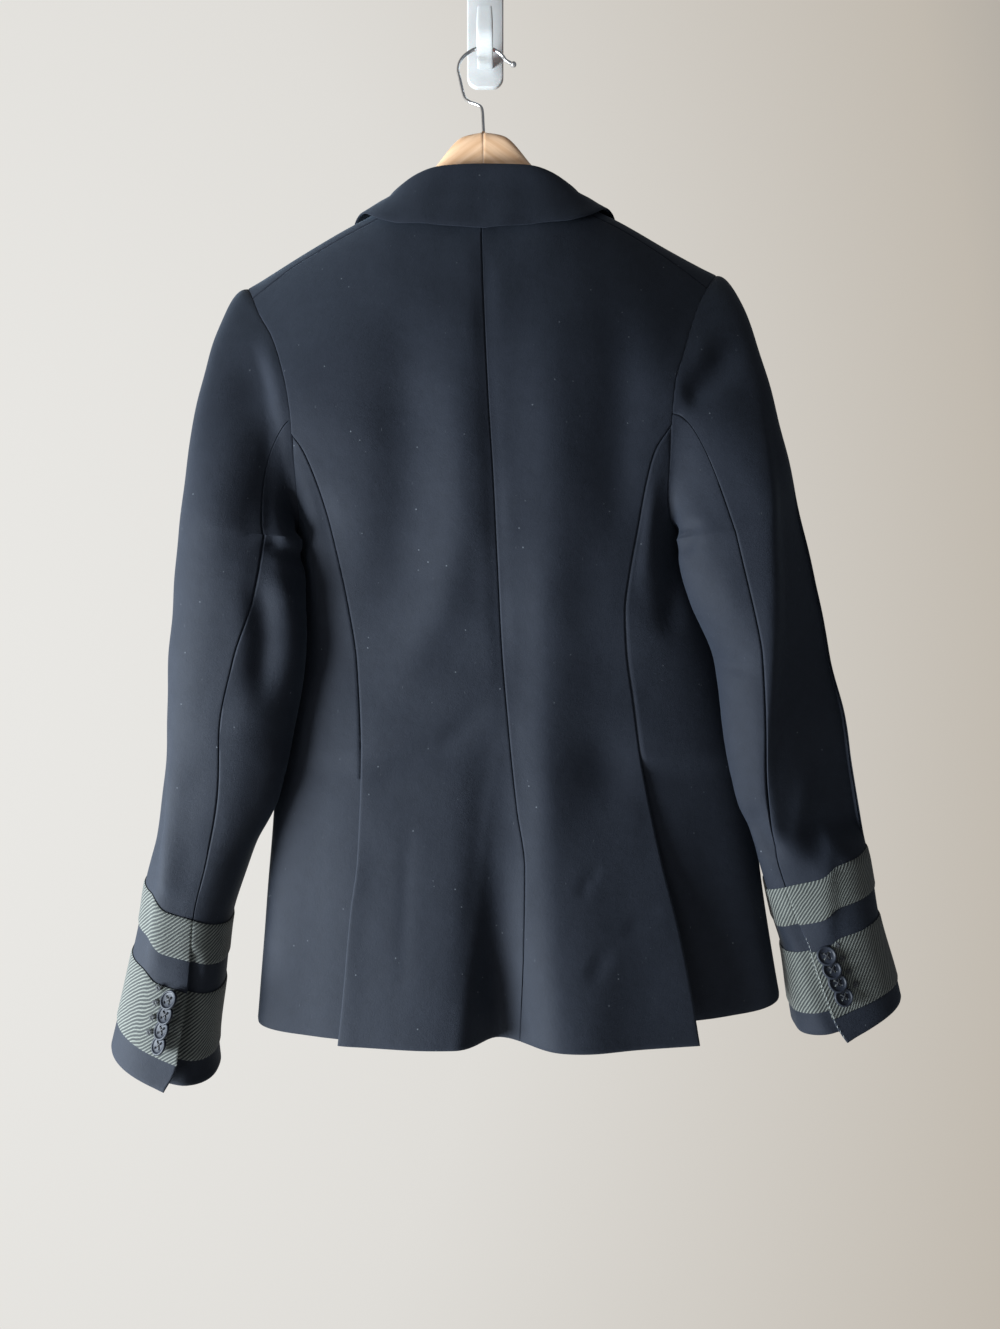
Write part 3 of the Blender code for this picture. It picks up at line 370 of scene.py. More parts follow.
# Rings of each sleeve. seam is the angle of the back seam from the side near the viewer, dip how much lower
# the near side of the ring lies, and tilt the angle by which its outer end is higher.
SLEEVE = {
    LEFT: Table("z inner outer y half tilt square seam dip", [
        (-455, -141, -240, -88, 41, 4, 2.4, -26, 0),
        (-505, -143, -244.5, -88, 41, 4, 2.4, -18, 0),
        (-552, -146, -248.6, -87, 40, 3, 2.4, -6, 0),
        (-600, -153, -251, -86, 38, 5, 2.4, -1, 0),
        (-650, -166, -253.5, -84, 36, 10, 2.4, -6, 2),
        (-700, -187, -260, -82, 35, 18, 2.3, -14, 4),
        (-742, -203, -269.5, -80, 34, 27, 2.2, -19, 6),
        (-773, -207, -275, -79, 33.5, 26, 2.2, -22, 7),
        (-796, -209.5, -280.5, -78, 33.5, 24, 2.2, -23, 8),
        (-848, -215, -292.5, -78, 34, 21.5, 2.2, -22, 9),
        (-868, -213.5, -298, -78, 35, 16.5, 2.2, -12, 10),
    ]),
    RIGHT: Table("z inner outer y half tilt square seam dip", [
        (-455, 149, 254, -88, 41, 4, 2.4, -8, 0),
        (-504, 166, 265, -88, 41, 4, 2.4, -11, 0),
        (-551, 188, 275, -86, 39, 3, 2.4, -20, 0),
        (-600, 193, 287, -85, 38, 6, 2.4, -25, 0),
        (-650, 202, 295, -83, 37, 12, 2.4, -34, 0),
        (-697, 214, 303, -81, 36, 18, 2.4, -40, 0),
        (-717, 221.5, 306, -80, 35, 22.5, 2.3, -40, 0),
        (-747, 232, 311.5, -79, 34.5, 23, 2.3, -38, 0),
        (-768, 240, 315, -79, 34.5, 23, 2.3, -35, 0),
        (-817, 246.5, 330, -78, 34.5, 18, 2.3, -22, 2),
        (-832, 249, 333.5, -78, 35, 19, 2.3, -12, 4),
    ]),
}
FRONT_SEAM = 215.0
CAP_Z = -455.0
# Heights of the bands, the hem and the vent's top, how far the vent's edge stands off and hangs down, and the
# fold (depth, x) that the bands cross with a step, within its reach.
CUFF = {
    LEFT: dict(upper=(-742.0, -773.0), lower=(-796.0, -848.0), hem=-868.0, vent=-778.0, flare=9.0, drop=3.0,
               reach=24.0, step=4.0,
               fold=[(690, -246), (734, -249), (765, -253), (789, -256.5), (816, -259)]),
    RIGHT: dict(upper=(-717.0, -747.0), lower=(-768.0, -817.0), hem=-832.0, vent=-752.0, flare=6.0, drop=7.0,
                reach=26.0, step=-3.0, fold=[(670, 263), (717, 266), (762, 268), (800, 272)]),
}
SOFT = 3.0             # how gently the sleeve turns where it meets the body
CAP_UNDER = 1.4        # how far the sleeve's edge lies in under the armhole
LEAN_IN = 5.0          # how far the sleeve's inner side swells towards the body


def sleeve_ring(side, angle, z):
    """Point of the sleeve: 0 degrees nearest the viewer, 90 outermost, 180 at the wall, 270 at the body."""
    table = SLEEVE[side]
    inner, outer = table("inner", z), table("outer", z)
    tilt = np.radians(table("tilt", z))
    power = 2 / table("square", z)
    turn = np.radians(angle)
    reach = np.abs(outer - inner) / 2
    across = np.sign(np.sin(turn)) * np.abs(np.sin(turn)) ** power
    near = np.sign(np.cos(turn)) * np.abs(np.cos(turn)) ** power
    x = (inner + outer) / 2 + side * reach * across
    y = table("y", z) - table("half", z) * near
    rise = reach * np.tan(tilt) * across - table("dip", z) * near
    return clear_of_torso(side, xyz(x, y, z + rise))


def clear_of_torso(side, points):
    """Where the sleeve would reach into the body it lies against it instead."""
    x, y, z = points[..., 0], points[..., 1], points[..., 2]
    middle, reach, depth, square = torso_sizes(side, z)
    level = middle_y(middle + side * reach, z)
    share = np.clip(np.abs(y - level) / (depth + 4), 0, 1)
    edge = reach * (1 - share**square) ** (1 / square) + 5.5 * ease((1 - share) * 4)
    out = side * (x - middle)
    push = SOFT * np.logaddexp(0, (edge - out) / SOFT)
    return xyz(x + side * push * ease((-440 - z) / 14), y, z)


def arm_loop(side, turn):
    """The armhole's edge: 0 degrees at the shoulder tip, 90 on the back, 180 under the arm, 270 in front."""
    top = ARM_TOP[side]
    z = top + (UNDERARM_Z - top) * (1 - np.cos(np.radians(turn))) / 2
    x = ARMHOLE[side]("x", z)
    middle, reach, depth, square = torso_sizes(side, z)
    share = np.clip(np.abs(x - middle) / reach, 0, 1)
    full = (1 - share**square) ** (1 / square)
    crest = crest_depth(x, z)
    sign = np.where((turn % 360) < 180, -1, 1)
    y = middle_y(x, z) + sign * half_depth(depth * full, crest)
    return xyz(x, y, z)


def sleeve(side, angle, row):
    """Rows 0 to 1 are the cap, down to the first ring. Then a row is 1 plus the fall in millimetres."""
    angle, row = np.broadcast_arrays(np.asarray(angle, float), np.asarray(row, float))
    ringed = sleeve_ring(side, angle, CAP_Z - np.maximum(row - 1, 0))
    first = sleeve_ring(side, angle, np.full(angle.shape, CAP_Z))
    edge = arm_loop(side, (90 - angle) % 360)
    t = np.clip(row, 0, 1)[..., None]
    lift = np.clip(np.sin(np.radians(angle)), -1, 1)[..., None]
    drop = np.linalg.norm(first - edge, axis=-1, keepdims=True)
    peak = np.maximum(lift, 0) ** 3
    start = edge + np.array([side, 0, 0]) * (4 + 0.16 * drop) * (1 - 0.5 * peak) + np.array([0, 0, 1]) * peak
    ahead = first - sleeve_ring(side, angle, np.full(angle.shape, CAP_Z - 14.0))
    ahead = ahead / np.linalg.norm(ahead, axis=-1, keepdims=True)
    end = first + ahead * (0.42 * drop * np.maximum(lift + 0.25, 0.12))
    cap = (1 - t) ** 3 * edge + 3 * t * (1 - t) ** 2 * start + 3 * t**2 * (1 - t) * end + t**3 * first
    return np.where(row[..., None] <= 1, cap, ringed)


def seam_angle(side, row):
    """Angle of the back seam, which starts nearer the viewer at the armhole."""
    at_ring = SLEEVE[side]("seam", np.minimum(CAP_Z - (row - 1), CAP_Z))
    return np.where(row < 1, -11 + (SLEEVE[side]("seam", CAP_Z) + 11) * row, at_ring)


def rgb(r, g, b):
    return (r, g, b, 1.0)


class Look:
    """A material, its nodes added by short calls. A value is a number, a colour or another node's output."""

    def __init__(self, name, **settings):
        self.made = bpy.data.materials.new(name)
        self.made.use_nodes = True
        self.tree = self.made.node_tree
        self.shader = self.tree.nodes["Principled BSDF"]
        self.put(self.shader, settings)

    def put(self, node, settings):
        for key, value in settings.items():
            socket = node.inputs[key if isinstance(key, int) else key.replace("_", " ")]
            if isinstance(value, bpy.types.NodeSocket):
                self.tree.links.new(value, socket)
            else:
                socket.default_value = value

    def done(self, colour, normal, **more):
        """The material, once its shader has these."""
        self.put(self.shader, {"Base Color": colour, "Normal": normal, **more})
        return self.made

    def add(self, kind, settings, **traits):
        node = self.tree.nodes.new("ShaderNode" + kind)
        for key, value in traits.items():
            setattr(node, key, value)
        self.put(node, settings)
        return node

    def math(self, operation, a, b=0.0, clamp=False):
        return self.add("Math", {0: a, 1: b}, operation=operation, use_clamp=clamp).outputs[0]

    def noise(self, vector, scale, detail=2.0, roughness=0.5, distortion=0.0):
        settings = {"Vector": vector, "Scale": scale, "Detail": detail, "Roughness": roughness,
                    "Distortion": distortion}
        return self.add("TexNoise", settings).outputs["Fac"]

    def scaled(self, value, gain, base):
        """The value times a gain, plus a base."""
        return self.math("ADD", self.math("MULTIPLY", value, gain), base)

    def cells(self, vector, scale):
        """Distance from the nearest of many scattered points."""
        settings = {"Vector": vector, "Scale": scale, "Randomness": 1.0}
        return self.add("TexVoronoi", settings).outputs["Distance"]

    def bands(self, vector, scale, axis, distortion, **more):
        """Even bands across an axis, a little bent."""
        settings = {"Vector": vector, "Scale": scale, "Distortion": distortion, "Detail": 1.0, **more}
        return self.add("TexWave", settings, wave_type="BANDS", bands_direction=axis).outputs["Fac"]

    def ramp(self, value, *stops):
        node = self.add("ValToRGB", {0: value})
        marks = node.color_ramp.elements
        for index, (place, colour) in enumerate(stops):
            mark = marks[index] if index < 2 else marks.new(place)
            mark.position = place
            mark.color = rgb(*colour)
        return node.outputs["Color"]

    def level(self, value, low, high):
        """The value from low to high as 0 to 1."""
        settings = {"Value": value, "From Min": low, "From Max": high}
        return self.add("MapRange", settings, clamp=True).outputs["Result"]

    def mix(self, share, one, other):
        node = self.add("Mix", {}, data_type="RGBA")
        for socket, value in ((node.inputs["Factor"], share), (node.inputs[6], one), (node.inputs[7], other)):
            if isinstance(value, bpy.types.NodeSocket):
                self.tree.links.new(value, socket)
            else:
                socket.default_value = value
        return node.outputs[2]

    def where(self, kind="Object"):
        return self.add("TexCoord", {}).outputs[kind]

    def bump(self, height, distance, strength=1.0, before=None):
        settings = {"Height": height, "Distance": distance, "Strength": strength}
        if before is not None:
            settings["Normal"] = before
        return self.add("Bump", settings).outputs["Normal"]

    def stretched(self, vector, scale, turn=(0, 0, 0)):
        return self.add("Mapping", {"Vector": vector, "Scale": scale, "Rotation": turn}).outputs["Vector"]


def cloth_look():
    """Smooth napped cloth: a faint mottle, a soft sheen, and the light specks and hairs that cling to it."""
    look = Look("navy_napped_cloth", Roughness=0.78, Sheen_Weight=0.09, Sheen_Roughness=0.5)
    place = look.where()
    cut = look.where("UV")
    mottle = look.noise(place, 95.0, 4.0, 0.6)
    nap = look.noise(place, 950.0, 3.0, 0.65)
    base = look.mix(look.level(mottle, 0.3, 0.7), rgb(0.0042, 0.0056, 0.0098), rgb(0.0066, 0.0084, 0.0138))
    base = look.mix(look.level(nap, 0.35, 0.75), base, rgb(0.0085, 0.0105, 0.0165))
    speck = look.level(look.cells(place, 105.0), 0.075, 0.035)
    chosen = look.level(look.noise(place, 37.0, 1.0), 0.53, 0.6)
    speck = look.math("MULTIPLY", speck, chosen, True)
    bent = look.noise(place, 60.0, 2.0, 0.5)
    strand_place = look.stretched(place, (300.0, 300.0, 42.0), (0.3, 0.5, 0.7))
    hair = look.level(look.cells(strand_place, 1.0), 0.07, 0.03)
    hair = look.math("MULTIPLY", hair, look.level(bent, 0.56, 0.62), True)
    lint = look.math("MAXIMUM", speck, look.math("MULTIPLY", hair, 0.6))
    base = look.mix(look.math("MULTIPLY", lint, 0.36), base, rgb(0.20, 0.22, 0.24))
    weave = look.math("MULTIPLY", look.bands(cut, 480.0, "X", 1.2), look.bands(cut, 480.0, "Y", 1.2))
    rise = look.bump(weave, 0.00012, 0.35)
    rise = look.bump(nap, 0.0005, 0.35, rise)
    rise = look.bump(mottle, 0.0012, 0.25, rise)
    rise = look.bump(lint, 0.0003, 0.5, rise)
    return look.done(base, rise, Sheen_Tint=rgb(0.42, 0.55, 0.72), Roughness=look.scaled(nap, 0.16, 0.66),
                     Specular_IOR_Level=0.16)


RIB_PITCH = 0.0022               # from rib to rib, in metres
RIB_ACROSS, RIB_UP = 0.72, 0.69  # the ribs' direction of count over the cloth


def twill_look(side):
    """Grey cloth with a diagonal rib that rises to the right, pale threads over a dark ground."""
    look = Look(f"grey_diagonal_rib_{HAND[side]}", Roughness=0.85, Sheen_Weight=0.1, Sheen_Roughness=0.5)
    cut = look.where("UV")
    apart = look.add("SeparateXYZ", {0: cut})
    wander = look.math("MULTIPLY", look.noise(cut, 160.0, 2.0), 0.0009)
    along = look.math("MULTIPLY", apart.outputs["X"], RIB_ACROSS)
    rise = look.math("MULTIPLY", apart.outputs["Y"], side * RIB_UP)
    phase = look.math("ADD", look.math("ADD", along, rise), wander)
    rib = look.math("SINE", look.math("MULTIPLY", phase, 2 * math.pi / RIB_PITCH))
    thread = look.bands(cut, 520.0, "Y", 1.5)
    fuzz = look.noise(cut, 1500.0, 2.0, 0.6)
    body = look.scaled(rib, 0.5, 0.5)
    body = look.math("MULTIPLY", body, look.scaled(thread, 0.3, 0.75), True)
    tint = look.ramp(body, (0.15, (0.006, 0.008, 0.009)), (0.85, (0.125, 0.133, 0.118)),
                     (0.5, (0.035, 0.038, 0.036)))
    tint = look.mix(look.math("MULTIPLY", look.level(fuzz, 0.4, 0.8), 0.35), tint, rgb(0.09, 0.1, 0.09))
    height = look.bump(body, 0.0006, 0.8)
    height = look.bump(fuzz, 0.0003, 0.35, height)
    return look.done(tint, height, Specular_IOR_Level=0.3)


def button_look():
    """Dark pressed resin with a faint cloud in it."""
    look = Look("navy_resin", Roughness=0.5)
    place = look.where()
    cloud = look.noise(place, 320.0, 3.0, 0.6, 1.5)
    scratch = look.noise(place, 2600.0, 2.0)
    tint = look.mix(look.level(cloud, 0.3, 0.75), rgb(0.005, 0.0065, 0.011), rgb(0.013, 0.016, 0.024))
    return look.done(tint, look.bump(scratch, 0.00012, 0.3), Specular_IOR_Level=0.24,
                     Roughness=look.scaled(cloud, 0.2, 0.42))


def thread_look(name, colour):
    look = Look(name, Roughness=0.7, Sheen_Weight=0.2)
    place = look.where()
    twist = look.noise(place, 2400.0, 2.0)
    dark = tuple(0.55 * c for c in colour)
    tint = look.mix(look.level(twist, 0.35, 0.7), rgb(*dark), rgb(*colour))
    return look.done(tint, look.bump(twist, 0.0003, 0.6))


def wood_look(side):
    """Varnished pale wood whose grain runs along the arm of the hanger."""
    look = Look(f"hanger_wood_{HAND[side]}", Roughness=0.42, Coat_Weight=0.25, Coat_Roughness=0.25)
    place = look.stretched(look.where(), (1.0, 1.0, 1.0), (0.0, side * -0.62, 0.0))
    long_place = look.stretched(place, (0.1, 1.0, 1.0))
    figure = look.noise(long_place, 130.0, 4.0, 0.6, 1.6)
    fine = look.noise(look.stretched(place, (0.04, 1.0, 1.0)), 900.0, 3.0, 0.6)
    rings = look.bands(long_place, 34.0, "Z", 7.0, Detail=3.0, Detail_Scale=1.6)
    grain = look.math("ADD", look.math("MULTIPLY", rings, 0.55), look.math("MULTIPLY", figure, 0.45))
    tint = look.ramp(grain, (0.2, (0.60, 0.355, 0.20)), (0.85, (0.72, 0.475, 0.30)),
                     (0.5, (0.66, 0.415, 0.25)))
    tint = look.mix(look.math("MULTIPLY", look.level(fine, 0.5, 0.72), 0.3), tint, rgb(0.42, 0.25, 0.12))
    return look.done(tint, look.bump(fine, 0.0002, 0.35), Roughness=look.scaled(figure, 0.2, 0.3))


def chrome_look():
    """Bright plated wire with fine drawing marks."""
    look = Look("chrome_plated_wire", Metallic=1.0, Roughness=0.16)
    place = look.where()
    marks = look.noise(place, 800.0, 3.0)
    tint = look.mix(look.level(marks, 0.3, 0.7), rgb(0.62, 0.62, 0.63), rgb(0.82, 0.82, 0.83))
    return look.done(tint, look.bump(marks, 0.0001, 0.2), Roughness=look.scaled(marks, 0.14, 0.1))


def plastic_look():
    """White moulded plastic with a faint grain."""
    look = Look("white_moulded_plastic", Roughness=0.34, Subsurface_Weight=0.06)
    place = look.where()
    grain = look.noise(place, 1700.0, 2.0)
    haze = look.noise(place, 60.0, 3.0)
    tint = look.mix(look.level(haze, 0.3, 0.7), rgb(0.38, 0.38, 0.375), rgb(0.43, 0.43, 0.425))
    return look.done(tint, look.bump(grain, 0.00012, 0.3), Roughness=look.scaled(haze, 0.18, 0.26))


CLOTH_LOOK = cloth_look()
TWILL_LOOK = {LEFT: twill_look(LEFT), RIGHT: twill_look(RIGHT)}
BUTTON_LOOK = button_look()
THREAD_LOOK = thread_look("navy_thread", (0.007, 0.009, 0.015))
PALE_THREAD_LOOK = thread_look("grey_thread", (0.30, 0.32, 0.31))
WOOD_LOOK = {LEFT: wood_look(LEFT), RIGHT: wood_look(RIGHT)}
CHROME_LOOK = chrome_look()
PLASTIC_LOOK = plastic_look()


def arcs(grid, axis):
    """Distance walked along one axis of a grid of points."""
    step = np.linalg.norm(np.diff(grid, axis=axis), axis=-1)
    start = np.zeros_like(np.take(step, [0], axis=axis))
    return np.concatenate([start, np.cumsum(step, axis=axis)], axis=axis)


def spread(count, ends=(0.004, 0.01, 0.02)):
    """Even shares from 0 to 1 with closer ones at both ends."""
    even = np.linspace(0, 1, count + 1)
    near = np.array(ends)
    inside = even[(even > near[-1] * 1.3) & (even < 1 - near[-1] * 1.3)]
    return np.concatenate([[0], near, inside, 1 - near[::-1], [1]])


def ripple(x, z, seed, longest=150.0, waves=7):
    """Slow uneven rise and fall of cloth, about -1 to 1."""
    random = np.random.default_rng(seed)
    total = np.zeros(np.broadcast(x, z).shape)
    for _ in range(waves):
        turn = random.uniform(0, math.pi)
        length = longest * random.uniform(0.35, 1.0)
        phase = random.uniform(0, 2 * math.pi)
        total += np.sin((x * math.cos(turn) + z * math.sin(turn)) * 2 * math.pi / length + phase)
    return total / math.sqrt(waves)


def borders(grid):
    """Distance in millimetres of each point from the first and last column and the first and last row."""
    side, down = arcs(grid, 1), arcs(grid, 0)
    return side, side[:, -1:] - side, down, down[-1:, :] - down


def placed(name, data):
    """A new object in the scene."""
    made = bpy.data.objects.new(name, data)
    bpy.context.scene.collection.objects.link(made)
    return made


def link(name, mesh, finish, slot, *stands_for):
    """An object of the mesh that rides on the jacket's one body."""
    mesh.materials.append(finish)
    mesh.shade_smooth()
    mesh.set_sharp_from_angle(angle=math.radians(55))
    made = placed(name, mesh)
    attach(made, "root")
    if stands_for:
        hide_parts(*stands_for)
    return made


def mesh_of(name, points, faces, uv=None):
    mesh = bpy.data.meshes.new(name)
    mesh.from_pydata(np.asarray(points, float) * MM, [], faces)
    if uv is not None:
        layer = mesh.uv_layers.new(name="cut")
        corner = np.zeros(len(mesh.loops), np.int32)
        mesh.loops.foreach_get("vertex_index", corner)
        layer.data.foreach_set("uv", (np.asarray(uv, float)[corner] * MM).ravel())
    made = bmesh.new()
    made.from_mesh(mesh)
    bmesh.ops.recalc_face_normals(made, faces=made.faces)
    made.to_mesh(mesh)
    made.free()
    return mesh


def grid_area(grid):
    """Area of a grid of points, as two triangles to a cell."""
    first = np.cross(grid[1:, :-1] - grid[:-1, :-1], grid[:-1, 1:] - grid[:-1, :-1])
    second = np.cross(grid[1:, :-1] - grid[1:, 1:], grid[:-1, 1:] - grid[1:, 1:])
    return (np.linalg.norm(first, axis=-1).sum() + np.linalg.norm(second, axis=-1).sum()) / 2


def shell(node, outer, heading, finish, slot, thickness=CLOTH, low=0.0,
          seams=("left", "right", "top"), seam_width=0.75, rests_on=("hanger_left", "hanger_right")):
    """Closed thin cloth over a grid of points, its edges turned in at the seams and rounded elsewhere."""
    reach = dict(zip(("left", "right", "top", "bottom"), borders(outer)))
    sink = np.zeros(outer.shape[:2])
    lift = np.zeros(outer.shape[:2])
    for edge, distance in reach.items():
        if edge in seams:
            sink = np.maximum(sink, min(SEAM_DEPTH, thickness * 0.8) * (1 - ease(distance / seam_width)))
        else:
            round_in = np.sqrt(np.clip(1 - np.clip(distance / 0.9, 0, 1), 0, 1)) * min(thickness, 1.2) * 0.45
            sink = np.maximum(sink, round_in)
            lift = np.maximum(lift, round_in)
    over = outer + heading * (low + thickness - sink)[..., None]
    under = outer + heading * (low + np.minimum(lift, thickness - sink - 0.05))[..., None]
    rows, columns = outer.shape[:2]
    count = rows * columns
    index = np.arange(count).reshape(rows, columns)
    a, b, c, d = index[:-1, :-1], index[:-1, 1:], index[1:, 1:], index[1:, :-1]
    top = np.stack([a, b, c, d], -1).reshape(-1, 4)
    bottom = top[:, ::-1] + count
    rim = np.concatenate([index[0, :], index[1:, -1], index[-1, -2::-1], index[-2:0:-1, 0]])
    after = np.roll(rim, -1)
    edge = np.stack([rim, after, after + count, rim + count], -1)
    points = np.concatenate([over.reshape(-1, 3), under.reshape(-1, 3)])
    side, down = arcs(outer, 1), arcs(outer, 0)
    uv = np.stack([side - side[:, columns // 2][:, None], down - down[:1]], -1).reshape(-1, 2)
    name = f"{node}_cloth"
    mesh = mesh_of(name, points, np.concatenate([top, bottom, edge]).tolist(), np.concatenate([uv, uv]))
    made = link(name, mesh, finish, slot, node)
    area = grid_area(outer) * MM * MM
    wide, tall = float(side.max()) * MM, float(down.max()) * MM
    tall = max(tall, area / wide)


TORSO_AXIS_Y = -66.0   # depth of the line down the torso's middle, away from which its pieces face


def puckers(z, off_seam, pitch, sway, slow):
    """Small puckers that a seam draws into the cloth beside it."""
    return PUCKER * np.sin(z / pitch + sway * np.sin(z / slow)) * np.exp(-off_seam / PUCKER_REACH)


def torso_piece(node, a, b, surface, steps, folds, seed, lift=0.0, shift=None, amount=0.35, hold=0.0, **rest):
    """A panel of the body on a grid of two parameters, with its creases."""
    points = surface(a, b)
    heading = normals(surface, a, b, *steps)
    axis = xyz(points[..., 0] * 0.6, TORSO_AXIS_Y, points[..., 2] - 12)
    heading = outward(points, heading, axis)
    x, z = points[..., 0], points[..., 2]
    left, right, top, _ = borders(points)
    calm = ease(np.minimum(left, right) / 14) * ease(top / 16)
    held = ease(np.minimum(left, right) / hold) if hold else 1.0
    height = creases(x, z, folds) * held + amount * ripple(x, z, seed) * calm
    height = height + puckers(z, np.minimum(left, right), 1.55, 2.3, 21)
    points = points + heading * height[..., None]
    if shift is not None:
        points = points + shift
    shell(node, points + heading * (lift - CLOTH), heading, CLOTH_LOOK, "navy_cloth", **rest)


# Sharper creases of the body.
BACK_CREASES = [
    Fold([(0, -205), (2, -300), (8, -412), (14, -537), (22, -630)], -1.7, 7, fade=(0.2, 0.3)),
    Fold([(20, -596), (6, -660), (-2, -742), (-18, -846)], 1.2, 6, 16, fade=(0.4, 0)),
    Fold([(-57, -660), (-60, -740), (-62, -818)], -0.7, 6),
    Fold([(72, -736), (80, -722), (92, -710)], -1.1, 3.2, 5),
    Fold([(104, -762), (120, -752), (142, -743)], -1.0, 3.2, 5),
    Fold([(78, -778), (96, -790)], -1.6, 13, fade=(0.5, 0.5)),
    Fold([(-96, -660), (-102, -740), (-106, -846)], 0.9, 9, fade=(0.4, 0)),
]
SIDE_CREASES = [
    Fold([(-140, -392), (-134, -440), (-130, -500), (-132, -550)], 2.4, 8, 12),
    Fold([(131, -398), (128, -450), (124, -515)], 2.6, 7, 8),
    Fold([(152, -440), (150, -490), (142, -545)], -4.5, 9, 14),
    Fold([(-128, -600), (-132, -700), (-140, -846)], -1.4, 16, fade=(0.4, 0)),
    Fold([(165, -640), (182, -740), (200, -830)], -2.0, 18, fade=(0.4, 0)),
]
FRONT_CREASES = [
    Fold([(20, -548), (50, -520), (90, -470)], 2.0, 11),
    Fold([(20, -552), (-20, -520), (-70, -470)], 2.0, 11),
    Fold([(22, -560), (60, -620), (100, -700)], -1.6, 15),
    Fold([(18, -560), (-30, -620), (-70, -710)], -1.6, 15),
    Fold([(-60, -660), (-64, -760), (-68, -846)], 2.2, 18, fade=(0.5, 0)),
    Fold([(94, -660), (100, -760), (106, -830)], 2.2, 18, fade=(0.5, 0)),
]


def back(side):
    u = spread(46)
    upper = np.linspace(0, 1, 77)
    upper = np.concatenate([[0, 0.002, 0.005, 0.009], upper[1:]])
    lower = lower_levels(SIDE_BACK[side].key[-1], HEM_Z)
    lower = np.concatenate([lower[:-1], [HEM_Z + 1.2, HEM_Z + 0.5, HEM_Z]])
    x = 100.0 * side * u[None, :] * np.ones((len(upper) - 1 + len(lower), 1))
    z = np.full_like(x, -200.0)
    count = len(upper) - 1
    for _ in range(60):
        top_x = x[:1, :]
        top = CREST("z", top_x) - SHOULDER_DROP[side]("drop", np.abs(top_x))
        z[:count] = top + (lower[0] - top) * upper[:-1, None]
        z[count:] = lower[:, None]
        inner = CENTRE("x", z) + side * SEAM
        outer = back_edge(side, z) - side * SEAM
        x = inner + (outer - inner) * u[None, :]
    q = -crest_depth(x, z)
    torso_piece(f"back_{HAND[side]}", x, q, draped, (0.5, 0.05), BACK_CREASES, 5 if side == LEFT else 6)


def body_side(side):
    u = spread(40, (0.006, 0.015, 0.03))
    seam_top = SIDE_BACK[side].key[-1]
    front_top = SIDE_FRONT[side].key[-1]

    def angle_at(z, share):
        first = ring_angle(side, SIDE_BACK[side]("x", z) + side * SEAM, z)
        last = 180 - ring_angle(side, SIDE_FRONT[side]("x", z), z)
        return first + (last - first) * share

    def arm_angle(z, back_half):
        angle = ring_angle(side, ARMHOLE[side]("x", z), z)
        return angle if back_half else 180 - angle

    tops = []
    for share in u:
        back_half = angle_at(UNDERARM_Z, share) < 90
        low, high = UNDERARM_Z, (seam_top if back_half else front_top)
        for _ in range(40):
            middle = (low + high) / 2
            gap = angle_at(middle, share) - arm_angle(middle, back_half)
            if (gap > 0) == back_half:
                high = middle
            else:
                low = middle
        tops.append(low)
    tops[0], tops[-1] = seam_top, front_top
    z = np.stack([lower_levels(top, HEM_Z) for top in tops], 1)
    z = z + side_hem_rise(side, u[None, :], z)
    share = u[None, :] * np.ones_like(z)
    angle = angle_at(z, share) - underlap(z) * (1 - ease(share * 4))

    # Inside the vent the panel lies in under the back panel.
    depth = VENT_TUCK * ease((VENT_TOP + 26 - z) / 20) + VENT_OPEN[side] * ease((VENT_TOP - z) / 200)
    near = 1 - ease((share - 0.06) * 2.2)
    tucked = xyz(0, depth * near, 0)
    torso_piece(f"side_{HAND[side]}", angle, z, partial(ring, side), (0.4, 0.5), SIDE_CREASES,
                7 if side == LEFT else 8, shift=tucked, hold=14.0)


# Rows over the shoulder, as shares of the way from the crest to the shoulder seam, below zero on the back.
OVER = np.array([
    -1.0, -0.97, -0.93, -0.85, -0.7, -0.55, -0.4, -0.28, -0.18, -0.1, -0.04, 0.0, 0.05, 0.12, 0.2, 0.3,
    0.42, 0.56, 0.72, 0.9, 1.1, 1.35, 1.65, 2.0, 2.4,
])


def front(side, upper=60, columns=44):
    """Rows over the shoulder first, then down to the side seam's top and to the hem."""
    u = spread(columns)
    levels = lower_levels(SIDE_FRONT[side].key[-1], HEM_Z)
    levels = levels + side_hem_rise(side, 1.0, levels)
    x_rows, q_rows = [], []
    x = side * (NECK + 60 * u)
    first_z = None
    for row in range(len(OVER) + upper + LOWER_ROWS):
        down = row - len(OVER) + 1
        for _ in range(40):
            drop = SHOULDER_DROP[side]("drop", np.abs(x))
            if down <= 0:
                z = CREST("z", x) - np.abs(OVER[row]) * drop
            elif down < upper:
                z = first_z + (levels[0] - first_z) * down / upper
            else:
                z = np.full(len(u), levels[down - upper])
            inner = roll_line(side, z) + side * SEAM
            x = inner + (front_edge(side, z) - inner) * u
        if down == 0:
            first_z = z
        sign = -1 if down <= 0 and OVER[row] < 0 else 1
        x_rows.append(x.copy())
        q_rows.append(sign * crest_depth(x, z))
    torso_piece(f"front_{HAND[side]}", np.array(x_rows), np.array(q_rows), front_surface(side),
                (0.5, 0.05), FRONT_CREASES, 9 if side == LEFT else 10, hold=14.0, seams=("right", "top"))


def lapel_cloth(side, rows=90):
    z = np.linspace(LAPEL.key[-1], LAPEL.key[0], rows + 1)[:, None]
    u = spread(26, (0.008, 0.02, 0.045))[None, :]
    z = z * np.ones_like(u)
    x = roll_line(side, z) + side * (0.8 + LAPEL("width", z) * u)
    q = crest_depth(x, z)
    torso_piece(f"lapel_{HAND[side]}", x, q, front_surface(side), (0.5, 0.05), [], 11,
                lift=LAPEL_LIFT + CLOTH, amount=0.12, seams=(),
                rests_on=[f"front_{HAND[side]}_cloth"])


